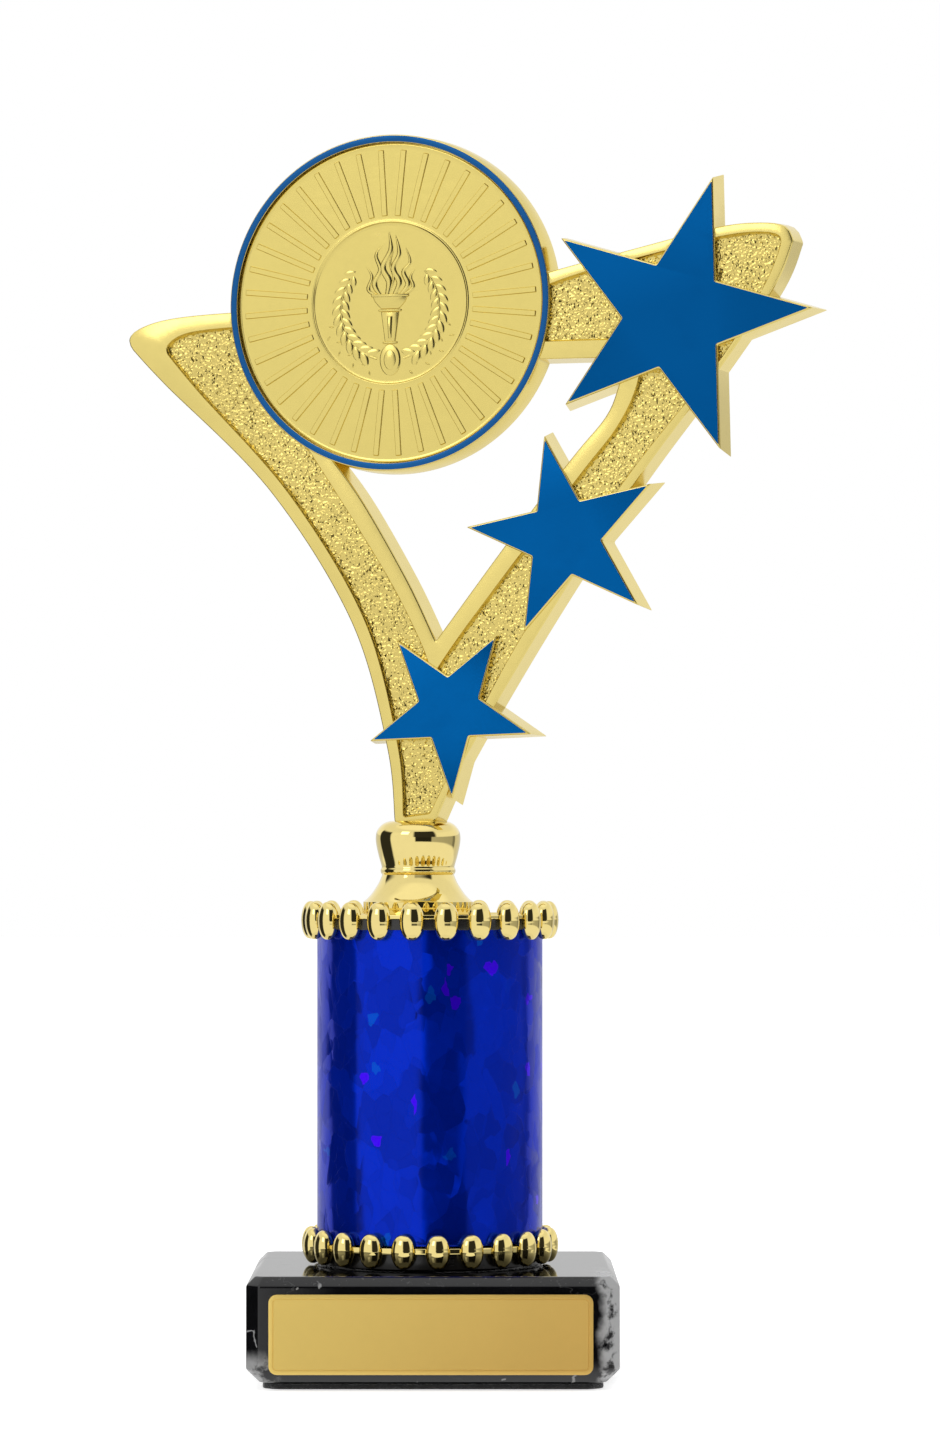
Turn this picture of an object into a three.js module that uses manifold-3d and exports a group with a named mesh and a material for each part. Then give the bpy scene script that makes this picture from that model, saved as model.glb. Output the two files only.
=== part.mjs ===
/*
 * Column trophy, in millimetres, +Z up, front towards -Y.
 * The origin is the centre of the felt pad's underside, which is the face that the trophy stands on.
 *
 * A marble block carries a film-wrapped column between two beaded rings. The topper is a turned neck
 * that holds a star riser with a round medal insert. One long rod, screwed into the neck and held by a
 * nut in the underside of the block, clamps the stack together, so the topper turns with the rod.
 */
import * as THREE from "three";
import { mergeVertices } from "three/addons/utils/BufferGeometryUtils.js";
import Module from "manifold-3d";

const wasm = await Module();
wasm.setup();

// Clearances between pieces.
const GAP = 0.25;
const GLUE_GAP = 0.08;

// Block: a square of polished marble with flat chamfers, a clearance hole and a nut recess.
const BLOCK_WIDTH = 57;
const BLOCK_TOP = 17.3;
const BLOCK_CORNER = 2;
const BLOCK_TOP_CHAMFER = 1.4;
const BLOCK_FOOT_CHAMFER = 2.1;
const BLOCK_HOLE = 5.5;
const NUT_RECESS = 13;
const NUT_RECESS_TOP = 8.4;
const FELT_THICK = 0.8;
const FELT_WIDTH = 52.4;
const BLOCK_BOTTOM = FELT_THICK + GAP;

// Name plate, glued to the front of the block.
const PLATE_WIDTH = 49.4;
const PLATE_HEIGHT = 12.2;
const PLATE_CORNER = 1.3;
const PLATE_THICK = 0.45;
const PLATE_CENTRE = [-0.3, 8.6];
const TAPE_THICK = 0.15;
const TAPE_MARGIN = 1;

// Column and its rings. The clearance holes let the column and the rod sit a little off the block's centre.
const COLUMN_X = -0.65;
const FILM_RADIUS = 17.7;
const FILM_THICK = 0.25;
const TUBE_RADIUS = FILM_RADIUS - FILM_THICK - GLUE_GAP;
const TUBE_BORE = 16;
const SPIGOT_BORE = 14.3;
const SPIGOT_LENGTH = 5;
const LOWER_PLATE = [19.9, 20.9];
const UPPER_PLATE = [71.1, 71.8];
const SKIRT_BOTTOM = 70;
const RING_RADIUS = 18.75;
const RING_BORE = FILM_RADIUS + GAP;
const RING_HOLE = 5;
const BEAD_COUNT = 22;
const BEAD_CENTRE = 18.65;
const BEAD_HALF = [1.35, 1.72, 3.15]; // outwards, along the ring, upwards
const LOWER_BEAD_TURN = 4.1; // degrees from a bead's centre to the front
const UPPER_BEAD_TURN = 360 / BEAD_COUNT / 2;

// Rod, nut and washers.
const ROD_X = -2.5;
const ROD_RADIUS = 2.5;
const ROD_BOTTOM = FELT_THICK + 2 * GAP;
const ROD_TOP = 80.2;
const NUT_FLATS = 8;
const NUT_HEIGHT = 4;
const SPRING_WASHER = { outer: 4.4, height: 1.2, slit: 0.7 };
const FLAT_WASHER = { outer: 9.5, height: 1 };

// Neck, with a threaded insert moulded into it.
const NECK_BOTTOM = UPPER_PLATE[1] + GAP;
const NECK_TOP = 86.8;
const INSERT_RADIUS = 3.6;
const INSERT_TOP = 80.4;
const SEAT_FLOOR = 84.3;

// Riser, drawn in its own plane: u to its right, z up. Depth runs backwards from its middle plane.
const RISER_TURN = 17.5; // degrees, clockwise from above
const RISER_BACK = 2.5;
const RIM_FRONT = -2.5;
const FIELD_FRONT = -1.5;
const PROUD_FRONT = -2.9; // tops of the stars and of the medal ring, under their coloured faces
const FACE_THICK = 0.3;
const DRAFT = 0.35; // how far the walls lean out towards the back
const WALL = 1.5;
const TANG_BOTTOM = SEAT_FLOOR + GAP + DRAFT;
const TANG_WIDTH = 6.7;
const TANG_MIDDLE = 0.25;
const TANG_LEFT = TANG_MIDDLE - TANG_WIDTH / 2;
const TANG_RIGHT = TANG_MIDDLE + TANG_WIDTH / 2;
const HOLLOW_FRONT = 0.2; // how far forwards the hollows in the back reach
const HOLLOW_FOOT = 96; // below this height the banner is solid
const RIB_WIDTH = 1.2;

// Medal insert and its seat.
const MEDAL_AT = [-3.95, 168.05];
const MEDAL_RING_RADIUS = 26.3;
const SEAT_RADIUS = 25.2;
const SEAT_DEPTH = -0.6;
const MEDAL_RADIUS = 25;
const MEDAL_BACK = -1.15;
const MEDAL_FRONT = -2.35;
const ROUNDEL_RADIUS = 12.75;
const PAD_RADIUS = 22;

// Five-pointed stars: centre, tip radius and the direction of one tip in degrees.
const STAR_WAIST = 0.382;
const STARS = {
  large: { at: [42.4, 164.8], radius: 22.06, tip: 73.5 },
  medium: { at: [24.8, 130.9], radius: 16.05, tip: 101.8 },
  small: { at: [6.0, 104.1], radius: 13.9, tip: 128.1 },
};

// The banner's edge, clockwise from the tang. Each run bends smoothly through its points.
const BANNER_RUNS = [
  [[TANG_LEFT, TANG_BOTTOM], [TANG_LEFT, NECK_TOP]],
  [[TANG_LEFT, NECK_TOP], [-4.4, 98.6], [-10.3, 118.2], [-23.8, 138.9], [-41.4, 156], [-46.9, 161.7]],
  [[-46.9, 161.7], [-47.6, 163.4], [-45.8, 165.1], [-40.6, 166.5], [-30.6, 167.2], [-17, 167.3]],
  [[-17, 167.3], [-15.5, 146]],
  [[-15.5, 146], [-13.3, 143.5], [-8.1, 136.5], [-0.9, 124.3], [3.7, 114.9]],
  [[3.7, 114.9], [15, 129.6], [25.9, 143.1], [31.3, 149.3], [33.3, 153.7], [34.6, 158.6]],
  [[34.6, 158.6], [17, 158.6]],
  [[17, 158.6], [17, 170.5]],
  [[17, 170.5], [22.2, 172.1], [36.9, 175.5], [49.2, 178.2], [56, 178.7], [60, 178], [61.3, 175.8]],
  [
    [61.3, 175.8], [58.4, 169], [49.7, 156.6], [36.2, 139.3],
    [21.6, 118], [8.8, 97.2], [TANG_RIGHT, NECK_TOP],
  ],
  [[TANG_RIGHT, NECK_TOP], [TANG_RIGHT, TANG_BOTTOM]],
];

// The edge of the sunken field inside the banner's rim, clockwise from its foot.
const FIELD_RUNS = [
  [[-1.6, 87.4], [-2.5, 98.6], [-8, 118.3], [-20.4, 138.2], [-35.5, 154.6], [-40.6, 160.5]],
  [[-40.6, 160.5], [-41.2, 162], [-38.1, 164], [-30.6, 164.8], [-19, 165]],
  [[-19, 165], [-19.4, 148.2]],
  [[-19.4, 148.2], [-12.1, 137.3], [-4, 124.6], [1, 115.1], [3.2, 109.4]],
  [[3.2, 109.4], [9.3, 117.8], [26.7, 139.7], [33.2, 147.7], [36.5, 154.4], [37.4, 161.4]],
  [[37.4, 161.4], [18, 161.4]],
  [[18, 161.4], [18, 168.8]],
  [[18, 168.8], [28, 171.9], [40.1, 174.6], [49.7, 176.7], [56, 177.2], [59.2, 176.4], [58.9, 174]],
  [[58.9, 174], [56.5, 168.7], [49.8, 158], [34.3, 139.4], [17.5, 115.2], [7.5, 97.2], [2.4, 87.4]],
];

// Ribs across the hollows in the banner's back: centre, direction in degrees and length.
const RIBS = [
  { at: [-31, 155], turn: 45, length: 24 },
  { at: [-14, 133], turn: 32, length: 20 },
  { at: [-3, 112], turn: 18, length: 20 },
  { at: [21, 129], turn: -40, length: 22 },
  { at: [47, 168], turn: -62, length: 24 },
];

// ---- making shapes ----

const radians = THREE.MathUtils.degToRad;

/** A manifold solid from a closed three.js geometry. */
function solid(geometry) {
  geometry.deleteAttribute("normal");
  geometry.deleteAttribute("uv");
  const merged = mergeVertices(geometry, 1e-4);
  return new wasm.Manifold(
    new wasm.Mesh({
      numProp: 3,
      vertProperties: merged.attributes.position.array,
      triVerts: new Uint32Array(merged.index.array),
    }),
  );
}

/** A three.js geometry from a manifold solid, with flat faces. */
function geometryOf(body) {
  const mesh = body.getMesh();
  const geometry = new THREE.BufferGeometry();
  geometry.setAttribute("position", new THREE.BufferAttribute(new Float32Array(mesh.vertProperties), 3));
  geometry.setIndex(new THREE.BufferAttribute(new Uint32Array(mesh.triVerts), 1));
  const faceted = geometry.toNonIndexed();
  faceted.computeVertexNormals();
  return faceted;
}

/** A solid turned about the Z axis at x, from a profile of [radius, z] points, counter-clockwise. */
function turned(profile, segments, x = 0) {
  const points = profile.map(([r, z]) => new THREE.Vector2(r, z));
  return solid(new THREE.LatheGeometry(points, segments).rotateX(Math.PI / 2).translate(x, 0, 0));
}

/** The closed profile of a plain ring or, with no bore, of a disc. */
function ringProfile(bore, radius, low, high) {
  return [[bore, low], [radius, low], [radius, high], [bore, high], [bore, low]];
}

function cylinder(radius, low, high, segments, x = 0) {
  return turned([[0, low], [radius, low], [radius, high], [0, high]], segments, x);
}

/** A shape raised along Z. */
function raised(shape, low, high) {
  const settings = { depth: high - low, bevelEnabled: false, curveSegments: 6 };
  return solid(new THREE.ExtrudeGeometry(shape, settings).translate(0, 0, low));
}

/** A shape drawn in the X-Z plane and given depth along Y, from back to front. */
function upright(shape, back, front, curveSegments = 6) {
  const settings = { depth: back - front, bevelEnabled: false, curveSegments };
  return solid(new THREE.ExtrudeGeometry(shape, settings).rotateX(Math.PI / 2).translate(0, back, 0));
}

/** A rectangle about x = 0 with its corners cut off, each end by its own amount. */
function chamferedRectangle(width, low, high, lowCut, highCut) {
  const half = width / 2;
  return new THREE.Shape([
    new THREE.Vector2(-half + lowCut, low),
    new THREE.Vector2(half - lowCut, low),
    new THREE.Vector2(half, low + lowCut),
    new THREE.Vector2(half, high - highCut),
    new THREE.Vector2(half - highCut, high),
    new THREE.Vector2(-half + highCut, high),
    new THREE.Vector2(-half, high - highCut),
    new THREE.Vector2(-half, low + lowCut),
  ]);
}

function roundedRectangle([x, y], width, height, radius) {
  const shape = new THREE.Shape();
  const right = x + width / 2 - radius;
  const left = x - width / 2 + radius;
  const top = y + height / 2 - radius;
  const bottom = y - height / 2 + radius;
  shape.absarc(right, bottom, radius, -Math.PI / 2, 0);
  shape.absarc(right, top, radius, 0, Math.PI / 2);
  shape.absarc(left, top, radius, Math.PI / 2, Math.PI);
  shape.absarc(left, bottom, radius, Math.PI, 1.5 * Math.PI);
  return shape;
}

/** A closed outline made of runs, each a smooth curve through its points. */
function smoothOutline(runs, divisions = 4) {
  return runs.flatMap((run) => {
    const points = run.map(([u, z]) => new THREE.Vector2(u, z));
    const steps = run.length === 2 ? 1 : (run.length - 1) * divisions;
    return new THREE.SplineCurve(points).getPoints(steps).slice(0, -1);
  });
}

function starOutline({ at, radius, tip }) {
  return Array.from({ length: 10 }, (_, i) => {
    const reach = i % 2 ? radius * STAR_WAIST : radius;
    const angle = radians(tip + 36 * i);
    return new THREE.Vector2(at[0] + reach * Math.cos(angle), at[1] + reach * Math.sin(angle));
  });
}

function circleOutline([u, z], radius, segments) {
  return Array.from({ length: segments }, (_, i) => {
    const angle = (2 * Math.PI * i) / segments;
    return new THREE.Vector2(u + radius * Math.cos(angle), z + radius * Math.sin(angle));
  });
}

/** An outline grown outwards, corner for corner. */
function grown(outline, growth) {
  const outwards = THREE.ShapeUtils.isClockWise(outline) ? -growth : growth;
  return outline.map((corner, i) => {
    const into = corner.clone().sub(outline.at(i - 1)).normalize();
    const away = outline[(i + 1) % outline.length].clone().sub(corner).normalize();
    const mitre = outwards / (1 + into.dot(away));
    return new THREE.Vector2(corner.x + mitre * (into.y + away.y), corner.y - mitre * (into.x + away.x));
  });
}

/** An upright solid whose outline is given at its front and whose walls lean outwards to the back. */
function drafted(outline, back, front) {
  const settings = { depth: back - front, bevelEnabled: false };
  const geometry = new THREE.ExtrudeGeometry(new THREE.Shape(outline), settings);
  const keyOf = (x, y) => `${Math.fround(x)} ${Math.fround(y)}`;
  const wide = grown(outline, DRAFT);
  const wideAt = new Map(outline.map((corner, i) => [keyOf(corner.x, corner.y), wide[i]]));
  const places = geometry.attributes.position;
  for (let i = 0; i < places.count; i += 1) {
    if (places.getZ(i) === 0) {
      const moved = wideAt.get(keyOf(places.getX(i), places.getY(i)));
      places.setXY(i, moved.x, moved.y);
    }
  }
  return solid(geometry.rotateX(Math.PI / 2).translate(0, back, 0));
}

/** A disc or ring around the medal's centre, facing forwards. */
function medalRound(outer, inner, back, front) {
  const shape = new THREE.Shape().absarc(...MEDAL_AT, outer, 0, 2 * Math.PI);
  if (inner) {
    shape.holes.push(new THREE.Path().absarc(...MEDAL_AT, inner, 0, 2 * Math.PI));
  }
  return upright(shape, back, front, 36);
}

// ---- the stand ----

function marbleBlock() {
  const profile = chamferedRectangle(
    BLOCK_WIDTH, BLOCK_BOTTOM, BLOCK_TOP, BLOCK_FOOT_CHAMFER, BLOCK_TOP_CHAMFER,
  );
  const half = BLOCK_WIDTH / 2;
  const plan = chamferedRectangle(BLOCK_WIDTH, -half, half, BLOCK_CORNER, BLOCK_CORNER);
  const frontOn = upright(profile, half, -half);
  return raised(plan, BLOCK_BOTTOM, BLOCK_TOP)
    .intersect(frontOn)
    .intersect(frontOn.rotate([0, 0, 90]))
    .subtract(cylinder(BLOCK_HOLE, 0, BLOCK_TOP + 1, 32))
    .subtract(cylinder(NUT_RECESS, 0, NUT_RECESS_TOP, 40));
}

function feltPad() {
  const half = FELT_WIDTH / 2;
  return raised(chamferedRectangle(FELT_WIDTH, -half, half, BLOCK_CORNER, BLOCK_CORNER), 0, FELT_THICK);
}

const TAPE_BACK = -BLOCK_WIDTH / 2 - GLUE_GAP;
const PLATE_BACK = TAPE_BACK - TAPE_THICK - GLUE_GAP;

function plateTape() {
  const width = PLATE_WIDTH - 2 * TAPE_MARGIN;
  const height = PLATE_HEIGHT - 2 * TAPE_MARGIN;
  const outline = roundedRectangle(PLATE_CENTRE, width, height, PLATE_CORNER);
  return upright(outline, TAPE_BACK, TAPE_BACK - TAPE_THICK);
}

function namePlate() {
  const outline = roundedRectangle(PLATE_CENTRE, PLATE_WIDTH, PLATE_HEIGHT, PLATE_CORNER);
  return upright(outline, PLATE_BACK, PLATE_BACK - PLATE_THICK);
}

/** The beads of one ring, cut back so that they clear the column. */
function beads(middle, turn) {
  const one = new THREE.SphereGeometry(1, 8, 6).rotateX(Math.PI / 2);
  const bead = solid(one.scale(...BEAD_HALF).translate(BEAD_CENTRE, 0, middle));
  const all = Array.from({ length: BEAD_COUNT }, (_, i) =>
    bead.rotate([0, 0, -90 + turn + (360 / BEAD_COUNT) * i]),
  );
  const [, , reach] = BEAD_HALF;
  return wasm.Manifold.union(all).subtract(cylinder(RING_BORE, middle - reach, middle + reach, 44));
}

/** Lower ring: beads around a plate, a foot on the block and a spigot up inside the column. */
function lowerBeadRing() {
  const [low, high] = LOWER_PLATE;
  const outer = TUBE_BORE - GAP;
  const body = turned(
    [
      [SPIGOT_BORE, BLOCK_TOP + GAP],
      [FILM_RADIUS, BLOCK_TOP + GAP],
      [FILM_RADIUS, low],
      [RING_RADIUS, low],
      [RING_RADIUS, high],
      [outer, high],
      [outer, high + SPIGOT_LENGTH],
      [SPIGOT_BORE, high + SPIGOT_LENGTH],
      [SPIGOT_BORE, high],
      [RING_HOLE, high],
      [RING_HOLE, low],
      [SPIGOT_BORE, low],
      [SPIGOT_BORE, BLOCK_TOP + GAP],
    ],
    44,
  );
  return body.add(beads((low + high) / 2 + 0.3, LOWER_BEAD_TURN)).translate([COLUMN_X, 0, 0]);
}

/** Upper ring: beads around a plate, a skirt over the column's end and a spigot down inside it. */
function upperBeadRing() {
  const [low, high] = UPPER_PLATE;
  const outer = TUBE_BORE - GAP;
  const body = turned(
    [
      [SPIGOT_BORE, low - SPIGOT_LENGTH],
      [outer, low - SPIGOT_LENGTH],
      [outer, low],
      [RING_BORE, low],
      [RING_BORE, SKIRT_BOTTOM],
      [RING_BORE + 0.45, SKIRT_BOTTOM],
      [RING_BORE + 0.45, low],
      [RING_RADIUS, low],
      [RING_RADIUS, high],
      [RING_HOLE, high],
      [RING_HOLE, low],
      [SPIGOT_BORE, low],
      [SPIGOT_BORE, low - SPIGOT_LENGTH],
    ],
    44,
  );
  return body.add(beads((low + high) / 2, UPPER_BEAD_TURN)).translate([COLUMN_X, 0, 0]);
}

const TUBE_ENDS = [LOWER_PLATE[1] + GAP, UPPER_PLATE[0] - GAP];

function columnTube() {
  return turned(ringProfile(TUBE_BORE, TUBE_RADIUS, ...TUBE_ENDS), 64, COLUMN_X);
}

function columnFilm() {
  return turned(ringProfile(FILM_RADIUS - FILM_THICK, FILM_RADIUS, ...TUBE_ENDS), 64, COLUMN_X);
}

// ---- the rod and what is on it; the rod's axis is Z in the topper's own frame ----

function threadedRod() {
  const tip = 0.6;
  return turned(
    [
      [0, ROD_BOTTOM],
      [ROD_RADIUS - tip, ROD_BOTTOM],
      [ROD_RADIUS, ROD_BOTTOM + tip],
      [ROD_RADIUS, ROD_TOP - tip],
      [ROD_RADIUS - tip, ROD_TOP],
      [0, ROD_TOP],
    ],
    20,
  );
}

const FLAT_WASHER_LOW = NUT_RECESS_TOP - GAP - FLAT_WASHER.height;
const SPRING_WASHER_LOW = FLAT_WASHER_LOW - GAP - SPRING_WASHER.height;
const NUT_LOW = SPRING_WASHER_LOW - GAP - NUT_HEIGHT;
const NUT_HOLE = ROD_RADIUS + GAP;

/** A hexagon with its corners turned down at both ends. */
function hexNut() {
  const corner = NUT_FLATS / 2 / Math.cos(Math.PI / 6);
  const high = NUT_LOW + NUT_HEIGHT;
  const turnedDown = 0.35;
  const round = turned(
    [
      [NUT_HOLE, NUT_LOW],
      [NUT_FLATS / 2, NUT_LOW],
      [corner, NUT_LOW + turnedDown],
      [corner, high - turnedDown],
      [NUT_FLATS / 2, high],
      [NUT_HOLE, high],
      [NUT_HOLE, NUT_LOW],
    ],
    24,
  );
  return round.intersect(cylinder(corner, NUT_LOW, high, 6));
}

function springWasher() {
  const { outer, height, slit } = SPRING_WASHER;
  const ring = turned(ringProfile(NUT_HOLE, outer, SPRING_WASHER_LOW, SPRING_WASHER_LOW + height), 32);
  const cut = new THREE.BoxGeometry(outer, slit, 4 * height).rotateX(radians(30));
  return ring.subtract(solid(cut.translate(outer, 0, SPRING_WASHER_LOW + height / 2)));
}

function flatWasher() {
  return turned(
    ringProfile(NUT_HOLE, FLAT_WASHER.outer, FLAT_WASHER_LOW, FLAT_WASHER_LOW + FLAT_WASHER.height),
    40,
  );
}

// ---- the neck ----

function neck() {
  const bore = INSERT_RADIUS + GAP;
  const body = turned(
    [
      [bore, NECK_BOTTOM],
      [8.4, NECK_BOTTOM],
      [8.6, NECK_BOTTOM + 0.2],
      [8.6, 74.1],
      [8.2, 74.4],
      [6.9, 75.9],
      [6.1, 77.2],
      [5.55, 78.4],
      [5.8, 78.7],
      [5.85, 79.1],
      [5.75, 79.5],
      [5.75, 79.8],
      [6.2, 81.4],
      [6.55, 83],
      [6.65, 84.2],
      [6.45, 85.2],
      [5.8, 86.1],
      [5, 86.6],
      [4.2, NECK_TOP],
      [0, NECK_TOP],
      [0, INSERT_TOP + GAP],
      [bore, INSERT_TOP + GAP],
      [bore, NECK_BOTTOM],
    ],
    32,
  );
  const width = TANG_WIDTH + 2 * (DRAFT + GAP);
  const height = NECK_TOP - SEAT_FLOOR + 1;
  const middle = [TANG_MIDDLE, SEAT_FLOOR + height / 2];
  const mouth = roundedRectangle(middle, width, height, 0.3);
  return body.subtract(upright(mouth, RISER_BACK + GAP, RIM_FRONT - GAP, 2));
}

/** A bush with two knurled bands, shown as flats. */
function threadedInsert() {
  const low = NECK_BOTTOM + 0.3;
  const body = turned(ringProfile(NUT_HOLE, INSERT_RADIUS - 0.4, low, INSERT_TOP), 24);
  const band = (from, to) => turned(ringProfile(NUT_HOLE, INSERT_RADIUS, from, to), 12);
  return body.add(band(low, low + 2.6)).add(band(INSERT_TOP - 2.6, INSERT_TOP));
}

// ---- the riser ----

function rib({ at, turn, length }) {
  const bar = new THREE.BoxGeometry(length, RISER_BACK - HOLLOW_FRONT, RIB_WIDTH);
  const place = [at[0], (RISER_BACK + HOLLOW_FRONT) / 2, at[1]];
  return solid(bar.rotateY(-radians(turn)).translate(...place));
}

/** Hollows in the back: the banner's follow its field and have ribs across, the medal seat's is round. */
function backHollows() {
  const behindBanner = upright(new THREE.Shape(smoothOutline(FIELD_RUNS)), RISER_BACK + 1, HOLLOW_FRONT);
  const foot = new THREE.BoxGeometry(BLOCK_WIDTH, BLOCK_WIDTH, HOLLOW_FOOT);
  const wholeRing = medalRound(MEDAL_RING_RADIUS, 0, RISER_BACK + 2, HOLLOW_FRONT - 1);
  const behindMedal = medalRound(SEAT_RADIUS - WALL, 0, RISER_BACK + 1, SEAT_DEPTH + WALL);
  return RIBS.reduce((hollow, each) => hollow.subtract(rib(each)), behindBanner)
    .subtract(solid(foot.translate(0, 0, HOLLOW_FOOT / 2)))
    .subtract(wholeRing)
    .add(behindMedal);
}

function riserShell() {
  const banner = drafted(smoothOutline(BANNER_RUNS), RISER_BACK, RIM_FRONT);
  const field = upright(new THREE.Shape(smoothOutline(FIELD_RUNS)), FIELD_FRONT, RIM_FRONT - 1);
  const ring = drafted(circleOutline(MEDAL_AT, MEDAL_RING_RADIUS, 72), RISER_BACK, PROUD_FRONT);
  const seat = medalRound(SEAT_RADIUS, 0, SEAT_DEPTH, PROUD_FRONT - 1);
  return Object.values(STARS)
    .map((star) => drafted(starOutline(star), RISER_BACK, PROUD_FRONT))
    .reduce((body, star) => body.add(star), banner.subtract(field).add(ring))
    .subtract(seat)
    .subtract(backHollows());
}

const FACE_BACK = PROUD_FRONT - GLUE_GAP;

function ringFace() {
  return medalRound(MEDAL_RING_RADIUS, SEAT_RADIUS, FACE_BACK, FACE_BACK - FACE_THICK);
}

function starFace(star) {
  return upright(new THREE.Shape(starOutline(star)), FACE_BACK, FACE_BACK - FACE_THICK);
}

/** The insert: a disc with a raised rim and a centre roundel a step below its field. */
function medalInsert() {
  const thick = MEDAL_BACK - MEDAL_FRONT;
  const points = [
    [0, 0],
    [MEDAL_RADIUS, 0],
    [MEDAL_RADIUS, thick - 0.2],
    [MEDAL_RADIUS - 0.2, thick],
    [MEDAL_RADIUS - 0.7, thick],
    [MEDAL_RADIUS - 0.8, thick - 0.15],
    [ROUNDEL_RADIUS + 0.1, thick - 0.15],
    [ROUNDEL_RADIUS, thick - 0.35],
    [0, thick - 0.35],
  ].map(([r, y]) => new THREE.Vector2(r, y));
  const lathe = new THREE.LatheGeometry(points, 72).rotateX(Math.PI);
  return solid(lathe.translate(MEDAL_AT[0], MEDAL_BACK, MEDAL_AT[1]));
}

function medalPad() {
  return medalRound(PAD_RADIUS, 0, SEAT_DEPTH - GLUE_GAP, MEDAL_BACK + GLUE_GAP);
}

// ---- materials and assembly ----

const FINISH = {
  marble: { color: 0x141518, roughness: 0.12, metalness: 0 },
  felt: { color: 0x1b1b1e, roughness: 0.95, metalness: 0 },
  plate: { color: 0xd2b35f, roughness: 0.35, metalness: 0.9 },
  tape: { color: 0xe8e6df, roughness: 0.8, metalness: 0 },
  plated: { color: 0xe6c868, roughness: 0.15, metalness: 0.95 },
  tube: { color: 0xdadad6, roughness: 0.5, metalness: 0 },
  film: { color: 0x0a2bb0, roughness: 0.12, metalness: 0.8 },
  steel: { color: 0xb4b8bc, roughness: 0.3, metalness: 0.95 },
  brass: { color: 0xc4a34e, roughness: 0.3, metalness: 0.95 },
  riser: { color: 0xe2cb7e, roughness: 0.3, metalness: 0.85 },
  starFoil: { color: 0x0a5a9e, roughness: 0.35, metalness: 0.1 },
  ringFoil: { color: 0x2864a3, roughness: 0.35, metalness: 0.1 },
  medal: { color: 0xe6cf74, roughness: 0.25, metalness: 0.95 },
  pad: { color: 0xd8d8d2, roughness: 0.9, metalness: 0 },
};

function piece(name, body, finish) {
  const mesh = new THREE.Mesh(geometryOf(body), new THREE.MeshStandardMaterial(FINISH[finish]));
  mesh.name = name;
  return mesh;
}

const stand = new THREE.Group();
stand.add(
  piece("marble_base", marbleBlock(), "marble"),
  piece("base_felt", feltPad(), "felt"),
  piece("plate_tape", plateTape(), "tape"),
  piece("name_plate", namePlate(), "plate"),
  piece("lower_bead_ring", lowerBeadRing(), "plated"),
  piece("column_tube", columnTube(), "tube"),
  piece("column_film", columnFilm(), "film"),
  piece("upper_bead_ring", upperBeadRing(), "plated"),
);

const topper = new THREE.Group();
topper.position.set(ROD_X, 0, 0);
topper.rotation.z = -radians(RISER_TURN);
topper.add(
  piece("threaded_rod", threadedRod(), "steel"),
  piece("hex_nut", hexNut(), "steel"),
  piece("spring_washer", springWasher(), "steel"),
  piece("flat_washer", flatWasher(), "steel"),
  piece("neck", neck(), "plated"),
  piece("neck_insert", threadedInsert(), "brass"),
  piece("riser_shell", riserShell(), "riser"),
  piece("medal_pad", medalPad(), "pad"),
  piece("medal_insert", medalInsert(), "medal"),
  piece("ring_face", ringFace(), "ringFoil"),
);
for (const [size, star] of Object.entries(STARS)) {
  topper.add(piece(`star_face_${size}`, starFace(star), "starFoil"));
}

const trophy = new THREE.Group();
trophy.add(stand, topper);

export default trophy;
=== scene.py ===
"""Column trophy: finished pieces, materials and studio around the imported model, laid out as an add-on."""

import math
import random

import bmesh
import bpy
import numpy as np
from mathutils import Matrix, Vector, geometry
from mathutils import noise as field_noise


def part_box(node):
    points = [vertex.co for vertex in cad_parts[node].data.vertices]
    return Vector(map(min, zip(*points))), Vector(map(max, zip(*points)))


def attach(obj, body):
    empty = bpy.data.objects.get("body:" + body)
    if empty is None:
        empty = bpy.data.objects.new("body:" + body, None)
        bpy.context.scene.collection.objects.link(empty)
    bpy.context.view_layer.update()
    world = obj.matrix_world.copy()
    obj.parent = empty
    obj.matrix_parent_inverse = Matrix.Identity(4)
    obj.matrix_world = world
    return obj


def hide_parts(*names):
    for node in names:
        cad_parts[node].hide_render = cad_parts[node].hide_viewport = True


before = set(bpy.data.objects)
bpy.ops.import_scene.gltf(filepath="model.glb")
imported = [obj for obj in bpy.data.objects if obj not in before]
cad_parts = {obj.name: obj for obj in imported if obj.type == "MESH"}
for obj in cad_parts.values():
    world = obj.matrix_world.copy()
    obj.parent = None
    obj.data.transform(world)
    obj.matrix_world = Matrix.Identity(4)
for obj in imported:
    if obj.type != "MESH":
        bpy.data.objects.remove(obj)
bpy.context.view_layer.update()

bl_info = {
    "name": "Column Trophy Workshop",
    "version": (1, 0, 0),
    "blender": (4, 5, 0),
    "location": "View3D > Sidebar > Trophy",
    "description": "Builds a column trophy with a star riser around its packed model",
    "category": "Object",
}

MM = 0.001
FINISH_PREFIX = "finish_"
# A length or radius below this counts as nothing.
TINY = 1e-6
# Vertices nearer to each other than this, in metres, become one.
WELD = 2e-7

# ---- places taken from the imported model, in millimetres ----


def box_mm(node):
    """Lowest and highest corner of a CAD node, in millimetres."""
    low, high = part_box(node)
    return low / MM, high / MM


def middle_of(node):
    """The middle of a CAD node's box, in millimetres."""
    low, high = box_mm(node)
    return (low + high) / 2


BLOCK = box_mm("marble_base")
FELT = box_mm("base_felt")
PLATE = box_mm("name_plate")
FILM = box_mm("column_film")
LOWER = box_mm("lower_bead_ring")
NECK = box_mm("neck")
ROD = box_mm("threaded_rod")
COLUMN_X = middle_of("column_film").x
ROD_X = middle_of("threaded_rod").x

# The riser's own frame: u across, v into the trophy and z up, turned about the rod's axis.
RISER_TURN = math.radians(17.5)
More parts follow.
